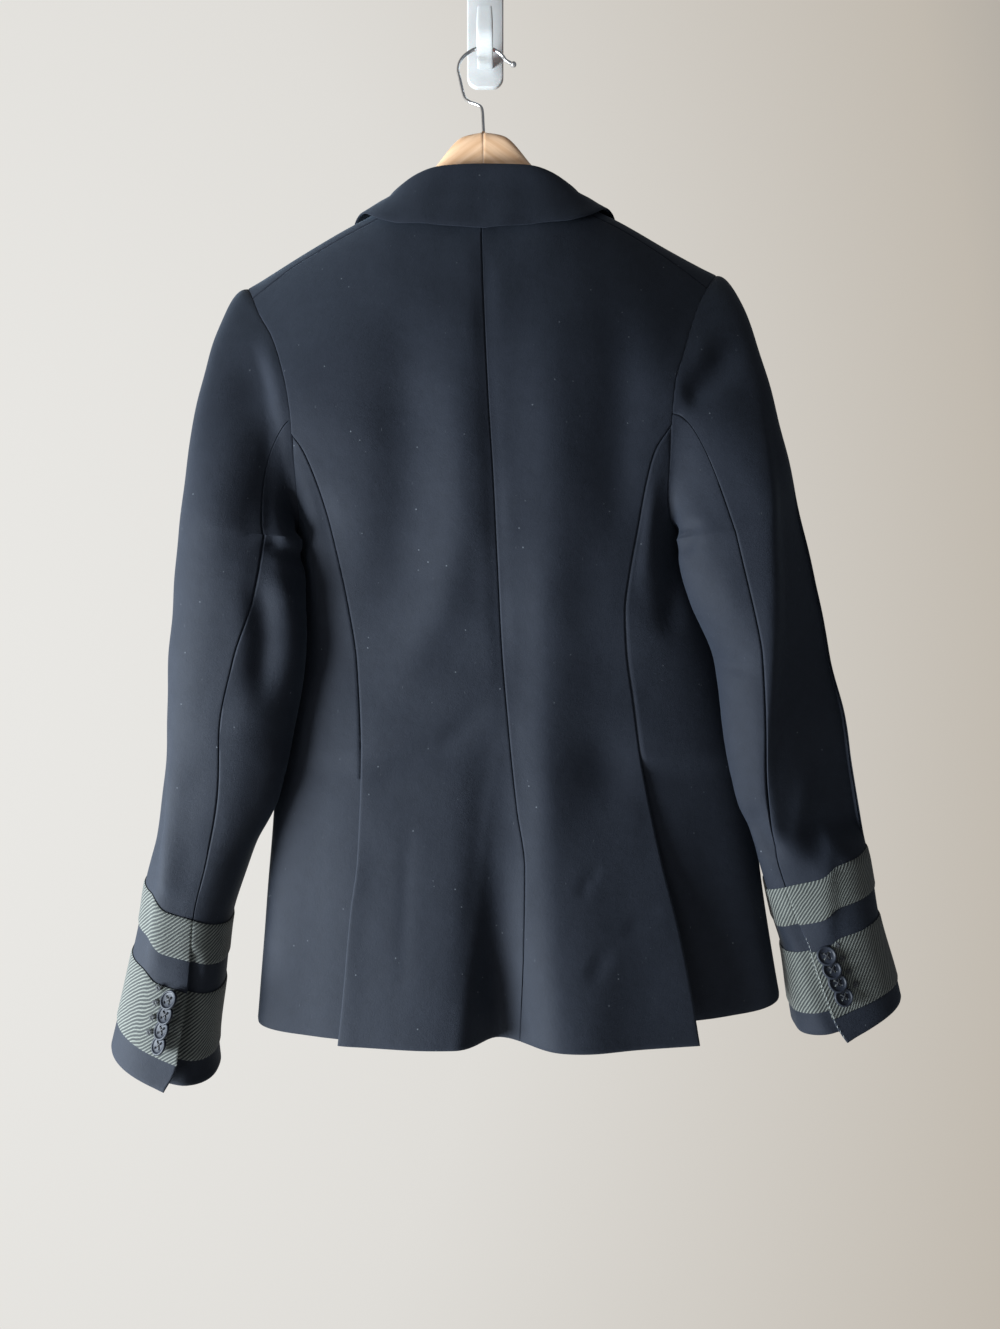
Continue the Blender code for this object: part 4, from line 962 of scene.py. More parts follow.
def collar_cloth(stations=150):
    """A stand that rises from the neck seam and turns over into a fall, on one smooth section."""
    station = np.linspace(-7, 7, stations + 1)
    side = np.sign(station + 1e-9)
    place = np.abs(station)

    def line(part, up):
        x = side * COLLAR(part + "_x", place)
        q = COLLAR(part + "_q", place)
        points = draped(x, q)
        points[:, 2] += up
        return points

    foot, roll, fall = line("foot", 0.8), line("roll", 0.0), line("fall", 0.0)
    centre = xyz(0.55 * fall[:, 0], -46.0, fall[:, 2] - 40)
    lean = fall - centre
    lean /= np.linalg.norm(lean, axis=-1, keepdims=True)
    fall = fall + lean * 5.0 - np.array([0, 0, 3.5]) * np.exp(-((place / 1.6) ** 2))[:, None]
    to_front = ease((place - 3.2) / 2.5)[:, None]
    up = np.array([0, 0, 1.0]) * (1 - to_front) + lean * to_front
    roll = roll + up * COLLAR("roll_up", place)[:, None]
    foot = foot + lean * to_front * 2.0
    out = fall - foot
    out[:, 2] = 0
    out /= np.linalg.norm(out, axis=-1, keepdims=True)
    top_half = 3.4
    section = np.stack([
        foot, foot * 0.55 + (roll - out * top_half) * 0.45, roll - out * top_half - [0, 0, 3.2],
        roll - out * top_half * 0.5 - [0, 0, 0.6], roll, roll + out * top_half * 0.6 - [0, 0, 0.8],
        roll + out * top_half * 1.3 - [0, 0, 4.0],
        roll * 0.62 + fall * 0.38 + lean * 1.6, roll * 0.3 + fall * 0.7 + lean * 1.6, fall + lean * 1.4,
    ], 0)
    grid = np.concatenate([
        curve_between(section, i, share)[None] for i in range(9) for share in np.linspace(0, 1, 6)[:-1]
    ] + [section[-1:]], 0)
    run, across = np.gradient(grid, axis=0), np.gradient(grid, axis=1)
    heading = np.cross(run, across)
    heading /= np.linalg.norm(heading, axis=-1, keepdims=True)
    if heading[25, stations // 2, 1] > 0:
        heading = -heading
    wave = 0.35 * ripple(grid[..., 0], grid[..., 2], 21, 70) * ease(np.linspace(-0.6, 1, len(grid)))[:, None]
    grid = grid + heading * wave[..., None]
    shell("collar", grid - heading * CLOTH, heading, CLOTH_LOOK, "navy_cloth", seams=("top",))


def curve_between(points, index, share):
    """A smooth curve through rows of points, at a share of the way from one row to the next."""
    last = len(points) - 1
    a, b = points[max(index - 1, 0)], points[index]
    c, d = points[index + 1], points[min(index + 2, last)]
    t = share
    return 0.5 * (2 * b + (c - a) * t + (2 * a - 5 * b + 4 * c - d) * t * t + (3 * b - a - 3 * c + d) * t**3)


# Creases of the sleeves on the side near the viewer.
SLEEVE_CREASES = {
    LEFT: [
        Fold([(-190, -285), (-176, -332), (-168, -370), (-166, -408), (-165, -449), (-169, -479),
              (-178, -515)], -6.5, 24, 11, fade=(0.25, 0.3)),
        Fold([(-164, -457), (-155, -467), (-136, -475)], -4.0, 7, 5, fade=(0.25, 0)),
        Fold([(-158, -478), (-153, -505), (-150, -530), (-152, -560), (-156, -592)], 5.0, 9, 6,
             fade=(0.25, 0.45)),
        Fold([(-172, -484), (-170, -508), (-168, -536), (-170, -566), (-172, -600)], -5.0, 9,
             9, fade=(0.3, 0.4)),
        Fold([(-158, -612), (-164, -640), (-172, -680)], 2.0, 9, 6),
        Fold([(-236, -600), (-239, -631), (-245, -735)], 2.4, 4.5, 12, fade=(0.4, 0.1)),
        Fold([(-246, -560), (-250, -640), (-254, -740)], -1.6, 6, 6),
    ],
    RIGHT: [
        Fold([(150, -352), (166, -340), (181, -325), (194, -304), (199, -288)], -4.5, 15,
             10, fade=(0.2, 0.4)),
        Fold([(214, -320), (216, -363), (218, -398), (221, -471), (222, -535), (219, -572), (216, -624),
                   (215, -682)], 3.5, 24, 6, fade=(0.3, 0.15)),
        Fold([(186, -470), (190, -520), (204, -560)], 1.5, 12),
        Fold([(176, -548), (196, -558), (214, -562)], -2.2, 5, 7, fade=(0, 0.5)),
        Fold([(236, -706), (222, -697), (214, -682), (213, -660)], -3.0, 6, 6,
             fade=(0.3, 0.4)),
        Fold([(255, -630), (247, -672), (241, -712)], 1.6, 8),
        Fold([(150, -446), (160, -452), (158, -475)], -3.0, 6),
    ],
}
# The fold that runs on down through the bands.
CUFF_FOLD = {
    LEFT: Fold([(-241, -655), (-246, -690), (-250, -734), (-254, -765), (-258, -789), (-261, -820)], 2.6,
               4.5, 11, fade=(0.3, 0.35)),
    RIGHT: Fold([(262, -690), (265, -717), (267, -762), (272, -800)], 2.4, 11, 5,
                fade=(0.3, 0.5)),
}
# The same on the hidden side, which faces the wall.
FAR_CREASES = {
    LEFT: [
        Fold([(-200, -360), (-204, -470), (-206, -580)], 2.4, 13),
        Fold([(-226, -420), (-230, -520), (-236, -620)], -2.0, 12),
        Fold([(-176, -610), (-206, -640), (-240, -650)], 2.2, 10),
        Fold([(-184, -660), (-214, -684), (-250, -690)], -2.0, 10),
    ],
    RIGHT: [
        Fold([(206, -360), (212, -470), (226, -580)], 2.4, 13),
        Fold([(232, -420), (244, -520), (258, -620)], -2.0, 12),
        Fold([(206, -590), (236, -610), (272, -610)], 2.2, 10),
        Fold([(214, -640), (246, -660), (284, -660)], -2.0, 10),
    ],
}


def sleeve_angles(side, part, rows):
    """Angles of a sleeve piece at its rows. The under sleeve runs on beneath the top one in the vent."""
    first = seam_angle(side, rows)
    step = math.degrees(SEAM / 45)
    if part == "top":
        u = spread(76, (0.002, 0.005, 0.009, 0.014))[None, :]
        return first + step + (FRONT_SEAM - first - step) * u
    u = spread(40)[None, :]
    z = CAP_Z - (rows - 1)
    under = 26.0 * ease((CUFF[side]["vent"] - z) / 14)
    last = 360 + first - step
    return FRONT_SEAM + (last - FRONT_SEAM) * u + under * u**5


def tuck(side, part, angle, row):
    """Depth of the under sleeve below the top one inside the vent."""
    if part == "top":
        return np.zeros(angle.shape)
    z = CAP_Z - (row - 1)
    past = angle - 360 - seam_angle(side, row)
    return 3.6 * ease((CUFF[side]["vent"] + 18 - z) / 16) * ease(1 + past / 22)


def sleeve_form(side, part, angle, row):
    """Creased outer surface of a sleeve piece and its outward directions."""
    shape = partial(sleeve, side)
    points = shape(angle, row)
    step_row = np.where(row < 1, 0.01, 0.6)
    heading = normals(shape, angle, row + np.where(row < 1, 0.011, 0.61), 0.6, step_row)
    ring_row = row[:, :1]
    whole = sleeve(side, np.linspace(0, 345, 24)[None, :] * np.ones((len(ring_row), 1)), ring_row)
    heading = outward(points, heading, whole.mean(axis=1, keepdims=True))
    near = np.cos(np.radians(angle))
    points = cornered(side, points, near)
    points = points - xyz(side * CAP_UNDER * (1 - ease(row / 0.035)), 0, 0)
    x, z = points[..., 0], points[..., 2]
    height = creases(x, z, SLEEVE_CREASES[side]) * ease(near * 3)
    height = height + creases(x, z, FAR_CREASES[side]) * ease(-near * 3)
    far = np.minimum(angle - angle[:, :1], angle[:, -1:] - angle) * 0.8
    below = CUFF[side]["upper"][0] - z
    calm = ease(far / 14) * ease(row * 9) * (1 - ease((below + 30) / 40))
    height = height * (1 - ease((below + 20) / 40)) * ease(row * 5)
    height = height + 0.45 * ripple(x, z + 40 * np.sin(np.radians(angle)), 31 + side, 110) * calm
    height = height + puckers(z, far, 1.6, 2.0, 23) * ease(row * 20)
    low = CAP_Z - (row - 1)
    against = np.exp(-(((angle - 268) / 50) ** 2)) * ease((-425 - low) / 70) * ease((low + 690) / 40)
    points = points - xyz(side * LEAN_IN * against, 0, 0)
    past = angle - seam_angle(side, row)
    if part == "top":
        height = height + cuff_lift(side, past, low)
        points = points - xyz(0, 0, cuff_drop(side, past, low))
    facing = ease(near * 4 + 0.6)
    points = points + xyz(0, 0, bend(side, x, z) * facing)
    height = height + crease(x, z, CUFF_FOLD[side]) * facing
    return points + heading * height[..., None] - heading * tuck(side, part, angle, row)[..., None], heading


# Line (height, x) of the sharp fold down the right sleeve, and the sleeve's outermost edge beside it.
CORNER = Table("z ridge edge", [
    (-700, 216, 304), (-682, 215, 302), (-624, 216, 294), (-601, 217, 290), (-552, 221, 278.7),
    (-503, 222, 268), (-455, 220, 257), (-406, 218, 246), (-358, 216, 234),
])


CORNER_OUT = 0.97      # how far the fold stands out, as a share of the sleeve's half depth
CORNER_SOFT = 1.2      # how gently the cloth turns over it


def cornered(side, points, near):
    """The right sleeve's near side falls away flat from its sharp fold to its outer edge."""
    if side == LEFT:
        return points
    x, y, z = points[..., 0], points[..., 1], points[..., 2]
    level = np.clip(z, CORNER.key[0], CORNER.key[-1])
    ridge, edge = CORNER("ridge", level), CORNER("edge", level)
    ring_z = np.minimum(level, CAP_Z)
    deep = SLEEVE[side]("half", ring_z) * CORNER_OUT
    flat = SLEEVE[side]("y", ring_z) - deep * (edge - x) / (edge - ridge)
    give = CORNER_SOFT * np.logaddexp(0, (flat - y) / CORNER_SOFT)
    give = give * ease((-385 - z) / 60) * ease((z + 712) / 34)
    return xyz(x, y + give * ease(near * 3) * ease((x - ridge + 12) / 10), z)


def cuff_lift(side, past, z):
    """How far the top sleeve stands off along the vent, by the degrees past its edge."""
    flare = CUFF[side]["flare"]
    return flare * np.exp(-np.maximum(past, 0) / 22) * ease((CUFF[side]["vent"] + 8 - z) / 62)


def cuff_drop(side, past, z):
    """How far the corner of the vent hangs below the hem."""
    return CUFF[side]["drop"] * np.exp(-np.maximum(past, 0) / 26) * ease((CUFF[side]["hem"] + 34 - z) / 34)


def bend(side, x, z):
    """Rise and fall of the bands where they cross the fold that runs down the cuff."""
    cuff = CUFF[side]
    line_z, line_x = zip(*cuff["fold"])
    off = (x - np.interp(-z, line_z, line_x)) / cuff["reach"]
    inside = np.clip(np.abs(off), 0, 1)
    step = -np.tanh(off * 6) + np.sign(off) * inside
    fade = ease((line_z[0] + z) / -26) * ease((line_z[-1] + z) / 26)
    return cuff["step"] * np.where(np.abs(off) < 1, step, 0) * fade


def cuff_rows(side):
    """Heights of the sleeve's rings, with one at each edge of the bands."""
    cuff = CUFF[side]
    marks = [CAP_Z, *cuff["upper"], *cuff["lower"], cuff["hem"]]
    levels = []
    for high, low in zip(marks[:-1], marks[1:]):
        count = max(3, round((high - low) / 3.6))
        levels += list(np.linspace(high, low, count + 1)[:-1])
    return levels + [cuff["hem"] + 1.2, cuff["hem"] + 0.5, cuff["hem"]]


def sleeve_cloth(side):
    cap = list(np.concatenate([[0, 0.006, 0.014, 0.025, 0.04], np.linspace(0.06, 1, 48)[:-1]]))
    rows = np.array(cap + [1 + CAP_Z - z for z in cuff_rows(side)])[:, None]
    hand = HAND[side]
    for part in ("top", "under"):
        angle = sleeve_angles(side, part, rows)
        points, heading = sleeve_form(side, part, angle, rows * np.ones_like(angle))
        shell(f"sleeve_{part}_{hand}", points - heading * CLOTH, heading, CLOTH_LOOK, "navy_cloth",
              rests_on=[f"back_{hand}_cloth"])
        for band, (high, low) in dict(upper=CUFF[side]["upper"], lower=CUFF[side]["lower"]).items():
            count = max(10, round((high - low) / 2))
            band_rows = np.array([1 + CAP_Z - z for z in np.linspace(high, low, count + 1)])[:, None]
            angle = sleeve_angles(side, part, band_rows)
            points, heading = sleeve_form(side, part, angle, band_rows * np.ones_like(angle))
            shell(f"band_{band}_{part}_{hand}", points, heading, TWILL_LOOK[side], "grey_twill",
                  thickness=1.0, low=0.15, seams=(), seam_width=1.2,
                  rests_on=[f"sleeve_{part}_{hand}_cloth"])


def lathe(profile, sides):
    """Points and faces of a profile of (radius, height) turned about the Z axis, both ends on the axis."""
    points = [(0, 0, profile[0][1])]
    turns = [2 * math.pi * i / sides for i in range(sides)]
    for radius, height in profile[1:-1]:
        points += [(radius * math.cos(turn), radius * math.sin(turn), height) for turn in turns]
    points.append((0, 0, profile[-1][1]))
    last, rings = len(points) - 1, len(profile) - 2
    faces = []
    for i in range(sides):
        j = (i + 1) % sides
        faces.append((0, 1 + j, 1 + i))
        for k in range(rings - 1):
            a = 1 + k * sides
            faces.append((a + i, a + j, a + sides + j, a + sides + i))
        a = 1 + (rings - 1) * sides
        faces.append((last, a + i, a + j))
    return np.array(points, float), faces


def tube_faces(rings, sides):
    """Faces of a row of rings of points, closed at both ends."""
    faces = [tuple(range(sides)), tuple((rings - 1) * sides + k for k in range(sides))]
    for i in range(rings - 1):
        for k in range(sides):
            n = (k + 1) % sides
            faces.append((i * sides + k, i * sides + n, (i + 1) * sides + n, (i + 1) * sides + k))
    return faces


def squarish(k, sides, wide_power, tall_power):
    """Point k of a ring that is rounder or squarer by its powers, 1 at its widest and tallest."""
    turn = 2 * math.pi * (k + 0.5) / sides
    c, s = math.cos(turn), math.sin(turn)
    return math.copysign(abs(c) ** wide_power, c), math.copysign(abs(s) ** tall_power, s)


def swept(path, radius, sides):
    """Points and faces of a round rod along a path."""
    path = np.array(path, float)
    run = np.gradient(path, axis=0)
    run /= np.linalg.norm(run, axis=-1, keepdims=True)
    side_way = np.array([0.0, 1.0, 0.0]) if abs(run[0][1]) < 0.9 else np.array([1.0, 0.0, 0.0])
    points = []
    for point, ahead in zip(path, run):
        one = np.cross(ahead, side_way)
        one /= np.linalg.norm(one)
        two = np.cross(ahead, one)
        side_way = -two
        for k in range(sides):
            turn = 2 * math.pi * k / sides
            points.append(point + (one * math.cos(turn) + two * math.sin(turn)) * radius)
    return points, tube_faces(len(path), sides)


def joined(parts):
    """Several lists of points and faces as one."""
    points, faces = [], []
    for more, cells in parts:
        base = len(points)
        points += [tuple(p) for p in more]
        faces += [tuple(base + k for k in cell) for cell in cells]
    return points, faces


def basis(normal, up):
    """Rows are the across, up and normal directions of a small piece."""
    normal = normal / np.linalg.norm(normal)
    across = np.cross(up, normal)
    across /= np.linalg.norm(across)
    return np.array([across, np.cross(normal, across), normal])


# Half section of a button as shares of its radius and thickness, from the middle of its back to its face.
BUTTON_PROFILE = [
    (0, 0), (0.8, 0), (0.93, 0.08), (1, 0.34), (0.995, 0.62), (0.96, 0.86), (0.89, 1), (0.82, 0.98),
    (0.77, 0.84), (0.72, 0.66), (0.64, 0.6), (0.4, 0.56), (0, 0.56),
]


def button(name, centre, axes, radius, thickness):
    """A dished button with a rounded rim, four holes through it and a cross of thread."""
    r, t = radius, thickness
    points, faces = lathe([(r * out, t * up) for out, up in BUTTON_PROFILE], 56)
    mesh = mesh_of(name, points @ axes + centre, faces)
    made = link(name + "_dish", mesh, BUTTON_LOOK, "navy_button", name)
    hole, apart = 0.13 * r, 0.26 * r
    cutters = []
    for sx in (-1, 1):
        for sy in (-1, 1):
            cut_points, cut_faces = lathe([(0, -1), (hole, -1), (hole, t + 1), (0, t + 1)], 14)
            cutters.append(((cut_points + [sx * apart, sy * apart, 0]) @ axes + centre, cut_faces))
    cutter = placed(name + "_holes", mesh_of(name + "_holes", *joined(cutters)))
    bpy.context.view_layer.update()
    cut = made.modifiers.new("holes", "BOOLEAN")
    cut.operation, cut.object, cut.solver = "DIFFERENCE", cutter, "EXACT"
    ready = bpy.data.meshes.new_from_object(made.evaluated_get(bpy.context.evaluated_depsgraph_get()))
    made.modifiers.clear()
    made.data = ready
    bpy.data.objects.remove(cutter, do_unlink=True)
    threads = []
    for sx, sy in ((1, 1), (1, -1)):
        for strand in (-0.16, 0.16):
            line = []
            for k in range(13):
                s = -1 + 2 * k / 12
                rise = t * 0.56 + 0.55 - 0.95 * s**6 + (0.25 if sy > 0 else 0.0) * (1 - s * s)
                line.append((sx * s * apart + strand * sy, sy * s * apart - strand * sx, rise))
            threads.append(swept(np.array(line) @ axes + centre, 0.24, 8))
    thread_points, thread_faces = joined(threads)
    link(name + "_thread", mesh_of(name + "_thread", thread_points, thread_faces), THREAD_LOOK, "navy_cloth")


# First button's height, the step to the next, and the distance in from the vent's edge in degrees.
CUFF_BUTTONS = {LEFT: (-803.0, 11.0, 15.0), RIGHT: (-774.0, 10.5, 15.0)}
BUTTON_RADIUS, BUTTON_THICK = 7.5, 2.4
BUTTON_LEAN = math.radians(17)     # each button leans over the next one by this much
BUTTON_TURN = {LEFT: math.radians(24), RIGHT: math.radians(4)}     # and turns out from the cuff by this much
BUTTON_SEAT = 1.0
STAR_LIFT = {LEFT: 2.6, RIGHT: 1.7}    # height of the buttonholes' worked ends over the cloth
STITCH_STEP = 3.0


def cuff_spot(side, z, turn):
    """A point of the top sleeve near the vent with its outward and downward directions."""
    row = 1 + CAP_Z - z
    angle = float(seam_angle(side, np.array(row))) + turn
    spot = sleeve(side, np.array([angle, angle + 2, angle]), np.array([row, row, row + 4]))
    across, down = spot[1] - spot[0], spot[2] - spot[0]
    out = np.cross(across, down)
    out *= -np.sign(out[1]) / np.linalg.norm(out)
    past = np.array([turn, turn + 2, turn])
    low = np.array([z, z, z - 4])
    spot = spot + out * cuff_lift(side, past, low)[:, None] - [0, 0, 1] * cuff_drop(side, past, low)[:, None]
    across, down = spot[1] - spot[0], spot[2] - spot[0]
    normal = np.cross(across, down)
    if normal[1] > 0:
        normal = -normal
    return spot[0], normal / np.linalg.norm(normal), down / np.linalg.norm(down)


def cuff_trims(side):
    """Four buttons that overlap like tiles, and the worked ends of their buttonholes."""
    first, step, from_vent = CUFF_BUTTONS[side]
    stars = []
    for index in range(4):
        z = first - step * index
        spot, normal, down = cuff_spot(side, z, from_vent)
        leaning = normal * math.cos(BUTTON_LEAN) - down * math.sin(BUTTON_LEAN)
        across = np.cross(down, normal)
        turn_out = BUTTON_TURN[side]
        leaning = leaning * math.cos(turn_out) + across * np.sign(across[0]) * side * math.sin(turn_out)
        lift = BUTTON_SEAT + BUTTON_RADIUS * math.sin(BUTTON_LEAN) + 5.5 * math.sin(turn_out)
        button(f"cuff_button_{HAND[side]}_{index + 1}", spot + normal * lift, basis(leaning, -down),
               BUTTON_RADIUS, BUTTON_THICK)
        spot, normal, down = cuff_spot(side, z + 4.0, from_vent + 13.5)
        axes = basis(normal, -down)
        for k in range(11):
            turn = 2 * math.pi * k / 11
            reach = 2.9 if k % 2 else 2.2
            ends = [(r * math.cos(turn), r * math.sin(turn), STAR_LIFT[side] + h) for r, h in
                    ((0.5, -0.25), (0.9, 0.15), (1.4, 0.2), (reach, -0.3))]
            stars.append(swept(np.array(ends) @ axes + spot, 0.32, 6))
    link(f"buttonhole_ends_{HAND[side]}", mesh_of("stars", *joined(stars)), THREAD_LOOK, "navy_cloth")


def vent_stitches(side):
    """A row of pale stitches down the open edge of the sleeve's vent."""
    cuff = CUFF[side]
    stitches = []
    z = cuff["vent"] - 6
    while z > cuff["hem"] + 3:
        high, normal, down = cuff_spot(side, z, 1.0)
        on_band = any(top > z > bottom for top, bottom in (cuff["upper"], cuff["lower"]))
        high = high + normal * (1.6 if on_band else 0.4)
        low = high + down * 1.7
        line = [high - normal * 0.25, high + down * 0.4, low - down * 0.4, low - normal * 0.25]
        stitches.append(swept(line, 0.16, 6))
        z -= STITCH_STEP
    link("vent_stitches", mesh_of("stitches", *joined(stitches)), PALE_THREAD_LOOK, "grey_twill")


def front_fastening():
    """The closing button on the right front, over the left one."""
    x = float(CENTRE("x", BUTTON_Z)) + 2
    q = float(crest_depth(x, BUTTON_Z - 14))
    spot = front_surface(RIGHT)(np.array([x]), np.array([q]))[0]
    button("front_button", spot + [0, 0.5, 0], basis(np.array([0, 1.0, 0]), np.array([0, 0, 1.0])), 10.0, 3.0)


# Top edge of the hanger's wood, its height and its place in depth, by distance from the middle.
HANGER = Table("out top tall y", [
    (0, -108, 46, -42), (17, -112, 46, -42), (40, -137, 44, -42), (70, -176.5, 34, -44),
    (100, -188, 32, -43.7), (147, -212.6, 30, -41), (176, -229.8, 27, -39), (188, -241, 20, -38),
])
HANGER_THICK, HANGER_MIDDLE = 13.0, -1.0
HANGER_REACH, HANGER_TIP = 188.0, 176.0    # length of an arm, and where it starts to narrow to its end
RIGHT_ARM_UP = 4.5                         # the hanger hangs a little askew


def hanger_arm(side, stations=90, sides=36):
    """One arm of the hanger: a rounded bar that slopes from the middle to the shoulder."""
    points = []
    places = np.concatenate([[0.15, 0.5, 1.2], np.linspace(2.5, HANGER_REACH, stations - 2)])
    for place in places:
        top = float(HANGER("top", place)) + (0 if side == LEFT else RIGHT_ARM_UP * min(place / 100, 1))
        tall, y = float(HANGER("tall", place)), float(HANGER("y", place))
        shrink = 1.0 - 0.45 * (max(0.0, place - HANGER_TIP) / (HANGER_REACH - HANGER_TIP)) ** 2
        shrink -= 0.05 * max(0.0, 1 - place / 1.2)
        half_t, half_h = HANGER_THICK / 2 * shrink, tall / 2 * shrink
        for k in range(sides):
            near, up = squarish(k, sides, 0.7, 0.6)
            points.append((HANGER_MIDDLE + side * place, y + near * half_t, top - tall / 2 + up * half_h))
    mesh = mesh_of("arm", points, tube_faces(len(places), sides))
    link(f"hanger_arm_{HAND[side]}", mesh, WOOD_LOOK[side], "hanger_wood", f"hanger_{HAND[side]}")


WIRE, BALL = 1.5, 2.6      # radii of the wire and of the ball at its end
HOOK_RADIUS, HOOK_Y = 22.0, -24.0
HOOK_TOP = -26.4 + WIRE    # top of the wire's middle line, where it rests on the prong


def wire_hook():
    """Up out of the wood, a crank to one side, then round the loop to the ball."""
    middle_z = HOOK_TOP - HOOK_RADIUS
    knots = [(-1, -42, -107.4), (-1.5, -39.5, -98), (-2, -37, -88), (-3.4, -35.6, -82.5), (-8, -34.8, -79.5),
             (-13, -33.6, -77), (-17.8, -31.5, -71)]
    for k in range(17):
        turn = math.radians(200 - 170 * k / 16)
        y = HOOK_Y - 7.0 * max(0.0, (200 - 170 * k / 16 - 130) / 70)
        knots.append((-1 + HOOK_RADIUS * math.cos(turn), y, middle_z + HOOK_RADIUS * math.sin(turn)))
    knots.append((23.5, HOOK_Y, middle_z + 8))
    knots = np.array(knots, float)
    path = [curve_between(knots, i, share) for i in range(len(knots) - 1) for share in (0, 0.25, 0.5, 0.75)]
    path.append(knots[-1])
    tip, ahead = knots[-1], knots[-1] - knots[-2]
    axes = basis(ahead, np.array([0, 1.0, 0]))
    ball = [(BALL * math.sin(math.pi * k / 14), -BALL * math.cos(math.pi * k / 14)) for k in range(1, 14)]
    ball_points, ball_faces = lathe([(0, -BALL), *ball, (0, BALL)], 28)
    parts = [swept(path, WIRE, 24), ((ball_points + [0, 0, 1.2]) @ axes + tip, ball_faces)]
    link("hanger_wire", mesh_of("wire", *joined(parts)), CHROME_LOOK, "chrome_wire", "hanger_hook")


PLATE_WIDE, PLATE_TALL, PLATE_THICK = 32.0, 95.0, 4.0
PRONG_WIDE, PRONG_THICK = 14.0, 3.2


def plate_outline(inset, corner=10.0, steps=12):
    """Outline of the plate, drawn in by the inset."""
    points = []
    for cx, cz, start in ((1, 1, 0), (-1, 1, 90), (-1, -1, 180), (1, -1, 270)):
        for k in range(steps + 1):
            turn = math.radians(start + 90 * k / steps)
            points.append((cx * (PLATE_WIDE / 2 - corner) + (corner - inset) * math.cos(turn),
                           cz * (PLATE_TALL / 2 - corner) + (corner - inset) * math.sin(turn)))
    return points


def hook_on_wall():
    """A flat plate with rounded edges and a prong that turns up to carry the hanger's wire."""
    layers = [(0.0, 0.0), (0.0, -2.6), (0.25, -3.3), (0.8, -3.8), (1.5, -PLATE_THICK)]
    plate = [(x, y, z) for inset, y in layers for x, z in plate_outline(inset)]
    plate_faces = tube_faces(len(layers), len(plate) // len(layers))
    floor_z = HOOK_TOP - WIRE - 0.65 - PRONG_WIDE**2 / 8 / (HOOK_RADIUS - WIRE)
    half = PRONG_THICK / 2
    line = [(-2.0, floor_z - half), (-8, floor_z - half), (-16, floor_z - half), (-24, floor_z - half)]
    for k in range(1, 19):
        turn = math.radians(90 * k / 18)
        line.append((-24 - (12 + half) * math.sin(turn), floor_z + 12 - (12 + half) * math.cos(turn)))
    line += [(-37.9, floor_z + 16), (-38.3, floor_z + 22), (-38.7, floor_z + 27), (-38.9, floor_z + 29)]
    line = np.array(line)
    run = np.gradient(line, axis=0)
    run /= np.linalg.norm(run, axis=-1, keepdims=True)
    under = np.stack([-run[:, 1], run[:, 0]], -1)
    sides = 28
    prong = []
    for index, ((y, z), (ny, nz)) in enumerate(zip(line, under)):
        near_tip = max(0.0, 1 - (len(line) - 1 - index) / 3)
        wide = PRONG_WIDE / 2 * (1 - 0.16 * near_tip)
        for k in range(sides):
            across, deep = squarish(k, sides, 0.35, 0.6)
            deep *= half * (1 - 0.3 * near_tip)
            prong.append((across * wide, y + ny * deep, z + nz * deep))
    mesh = mesh_of("hook", *joined([(plate, plate_faces), (prong, tube_faces(len(line), sides))]))
    link("adhesive_hook", mesh, PLASTIC_LOOK, "white_plastic", "wall_hook")


FLOOR_Z = -1.9
WORLD_STRENGTH = 0.86
# Direction of the window's side of the room, and the surroundings' shade from the far side (0) to it (1).
BRIGHT_SIDE = (-0.74, 0.67, -0.05)
SURROUNDINGS = [
    (0.0, (0.21, 0.22, 0.24)), (1.0, (0.97, 0.96, 0.93)), (0.47, (0.17, 0.18, 0.19)),
    (0.63, (0.62, 0.57, 0.50)), (0.83, (0.86, 0.84, 0.80)),
]
# Name, place, aim, size in metres, power in watts and colour of each lamp.
LIGHTS = [
    ("window", (-1.4, -0.7, -0.95), (0.0, -0.07, -0.6), 0.7, 124.0, (0.84, 0.93, 1.0)),
    ("fill", (-1.5, -2.2, -0.3), (-0.1, -0.07, -0.6), 1.2, 13.0, (0.92, 0.97, 1.0)),
]


def floor():
    """Pale round floor far below the jacket."""
    mesh = bpy.data.meshes.new("floor")
    turns = [2 * math.pi * k / 96 for k in range(96)]
    rim = [(2.4 * math.cos(t), 2.4 * math.sin(t) - 1.3, FLOOR_Z) for t in turns]
    mesh.from_pydata(rim, [], [tuple(range(len(rim)))])
    made = placed("floor", mesh)
    look = Look("pale_floor", Roughness=0.8)
    grain = look.noise(look.where(), 24.0, 4.0)
    look.put(look.shader, {"Base Color": look.mix(grain, rgb(0.66, 0.655, 0.64), rgb(0.74, 0.735, 0.72))})
    mesh.materials.append(look.made)


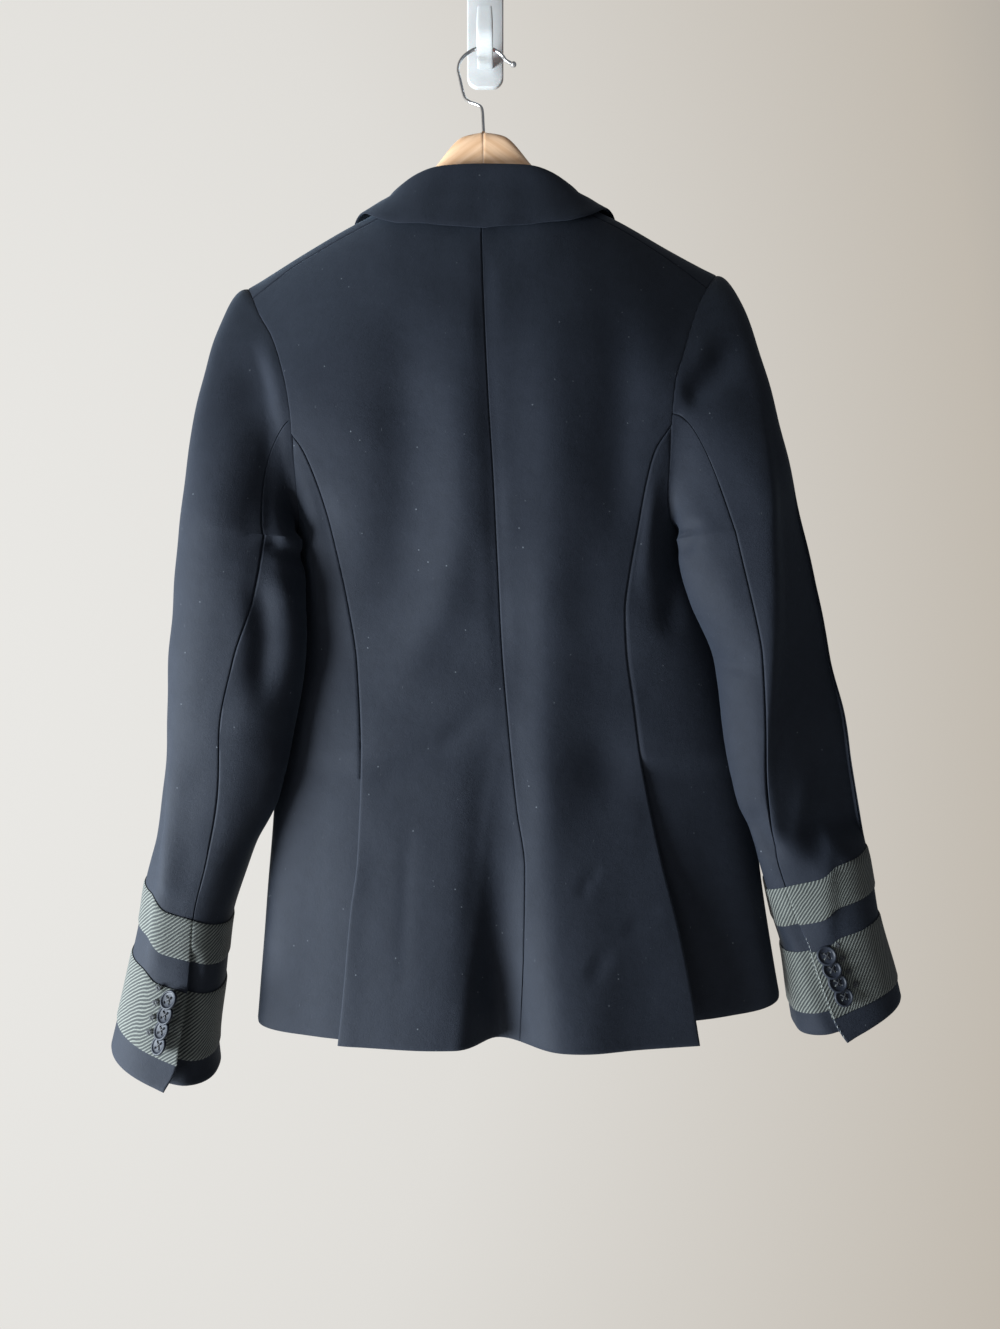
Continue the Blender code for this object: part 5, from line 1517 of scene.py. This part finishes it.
def surroundings():
    """A pale room that is brighter on the window's side."""
    world = bpy.data.worlds.new("studio")
    bpy.context.scene.world = world
    world.use_nodes = True
    tree = world.node_tree
    way = tree.nodes.new("ShaderNodeTexCoord")
    towards = tree.nodes.new("ShaderNodeVectorMath")
    towards.operation = "DOT_PRODUCT"
    towards.inputs[1].default_value = BRIGHT_SIDE
    share = tree.nodes.new("ShaderNodeMapRange")
    share.inputs["From Min"].default_value = -1.0
    shade = tree.nodes.new("ShaderNodeValToRGB")
    for mark, (place, colour) in zip(shade.color_ramp.elements, SURROUNDINGS[:2]):
        mark.position, mark.color = place, rgb(*colour)
    for place, colour in SURROUNDINGS[2:]:
        shade.color_ramp.elements.new(place).color = rgb(*colour)
    sky = tree.nodes["Background"]
    sky.inputs["Strength"].default_value = WORLD_STRENGTH
    tree.links.new(way.outputs["Generated"], towards.inputs[0])
    tree.links.new(towards.outputs["Value"], share.inputs["Value"])
    tree.links.new(share.outputs["Result"], shade.inputs[0])
    tree.links.new(shade.outputs["Color"], sky.inputs["Color"])
    bpy.context.scene.view_settings.view_transform = "Standard"


def lamps():
    """Soft light from the left, as in the photograph."""
    for name, place, aim, size, power, colour in LIGHTS:
        data = bpy.data.lights.new(name, "AREA")
        data.shape, data.size, data.energy, data.color = "DISK", size, power, colour
        lamp = placed(name, data)
        lamp.location = place
        lamp.rotation_euler = (Vector(aim) - Vector(place)).to_track_quat("-Z", "Y").to_euler()


SENSOR = 36.0                              # in millimetres, along the frame's longer side
FOCAL_PIXELS, FRAME_PIXELS = 1000, 1329    # focal length, and the frame's longer side


def camera():
    """The photograph's own view: level, 0.9 m off, a little below the middle of the jacket."""
    data = bpy.data.cameras.new("camera")
    data.sensor_width = SENSOR
    data.lens = SENSOR * FOCAL_PIXELS / FRAME_PIXELS
    data.clip_start = 0.01
    made = placed("camera", data)
    made.location = (0.013, -0.885, -0.556)
    made.rotation_euler = (math.radians(90), 0, 0)
    bpy.context.scene.camera = made


for each in (LEFT, RIGHT):
    back(each)
    body_side(each)
    front(each)
    lapel_cloth(each)
    sleeve_cloth(each)
    cuff_trims(each)
    if each == RIGHT:
        vent_stitches(each)
    hanger_arm(each)
collar_cloth()
front_fastening()
wire_hook()
hook_on_wall()
floor()
surroundings()
lamps()
camera()
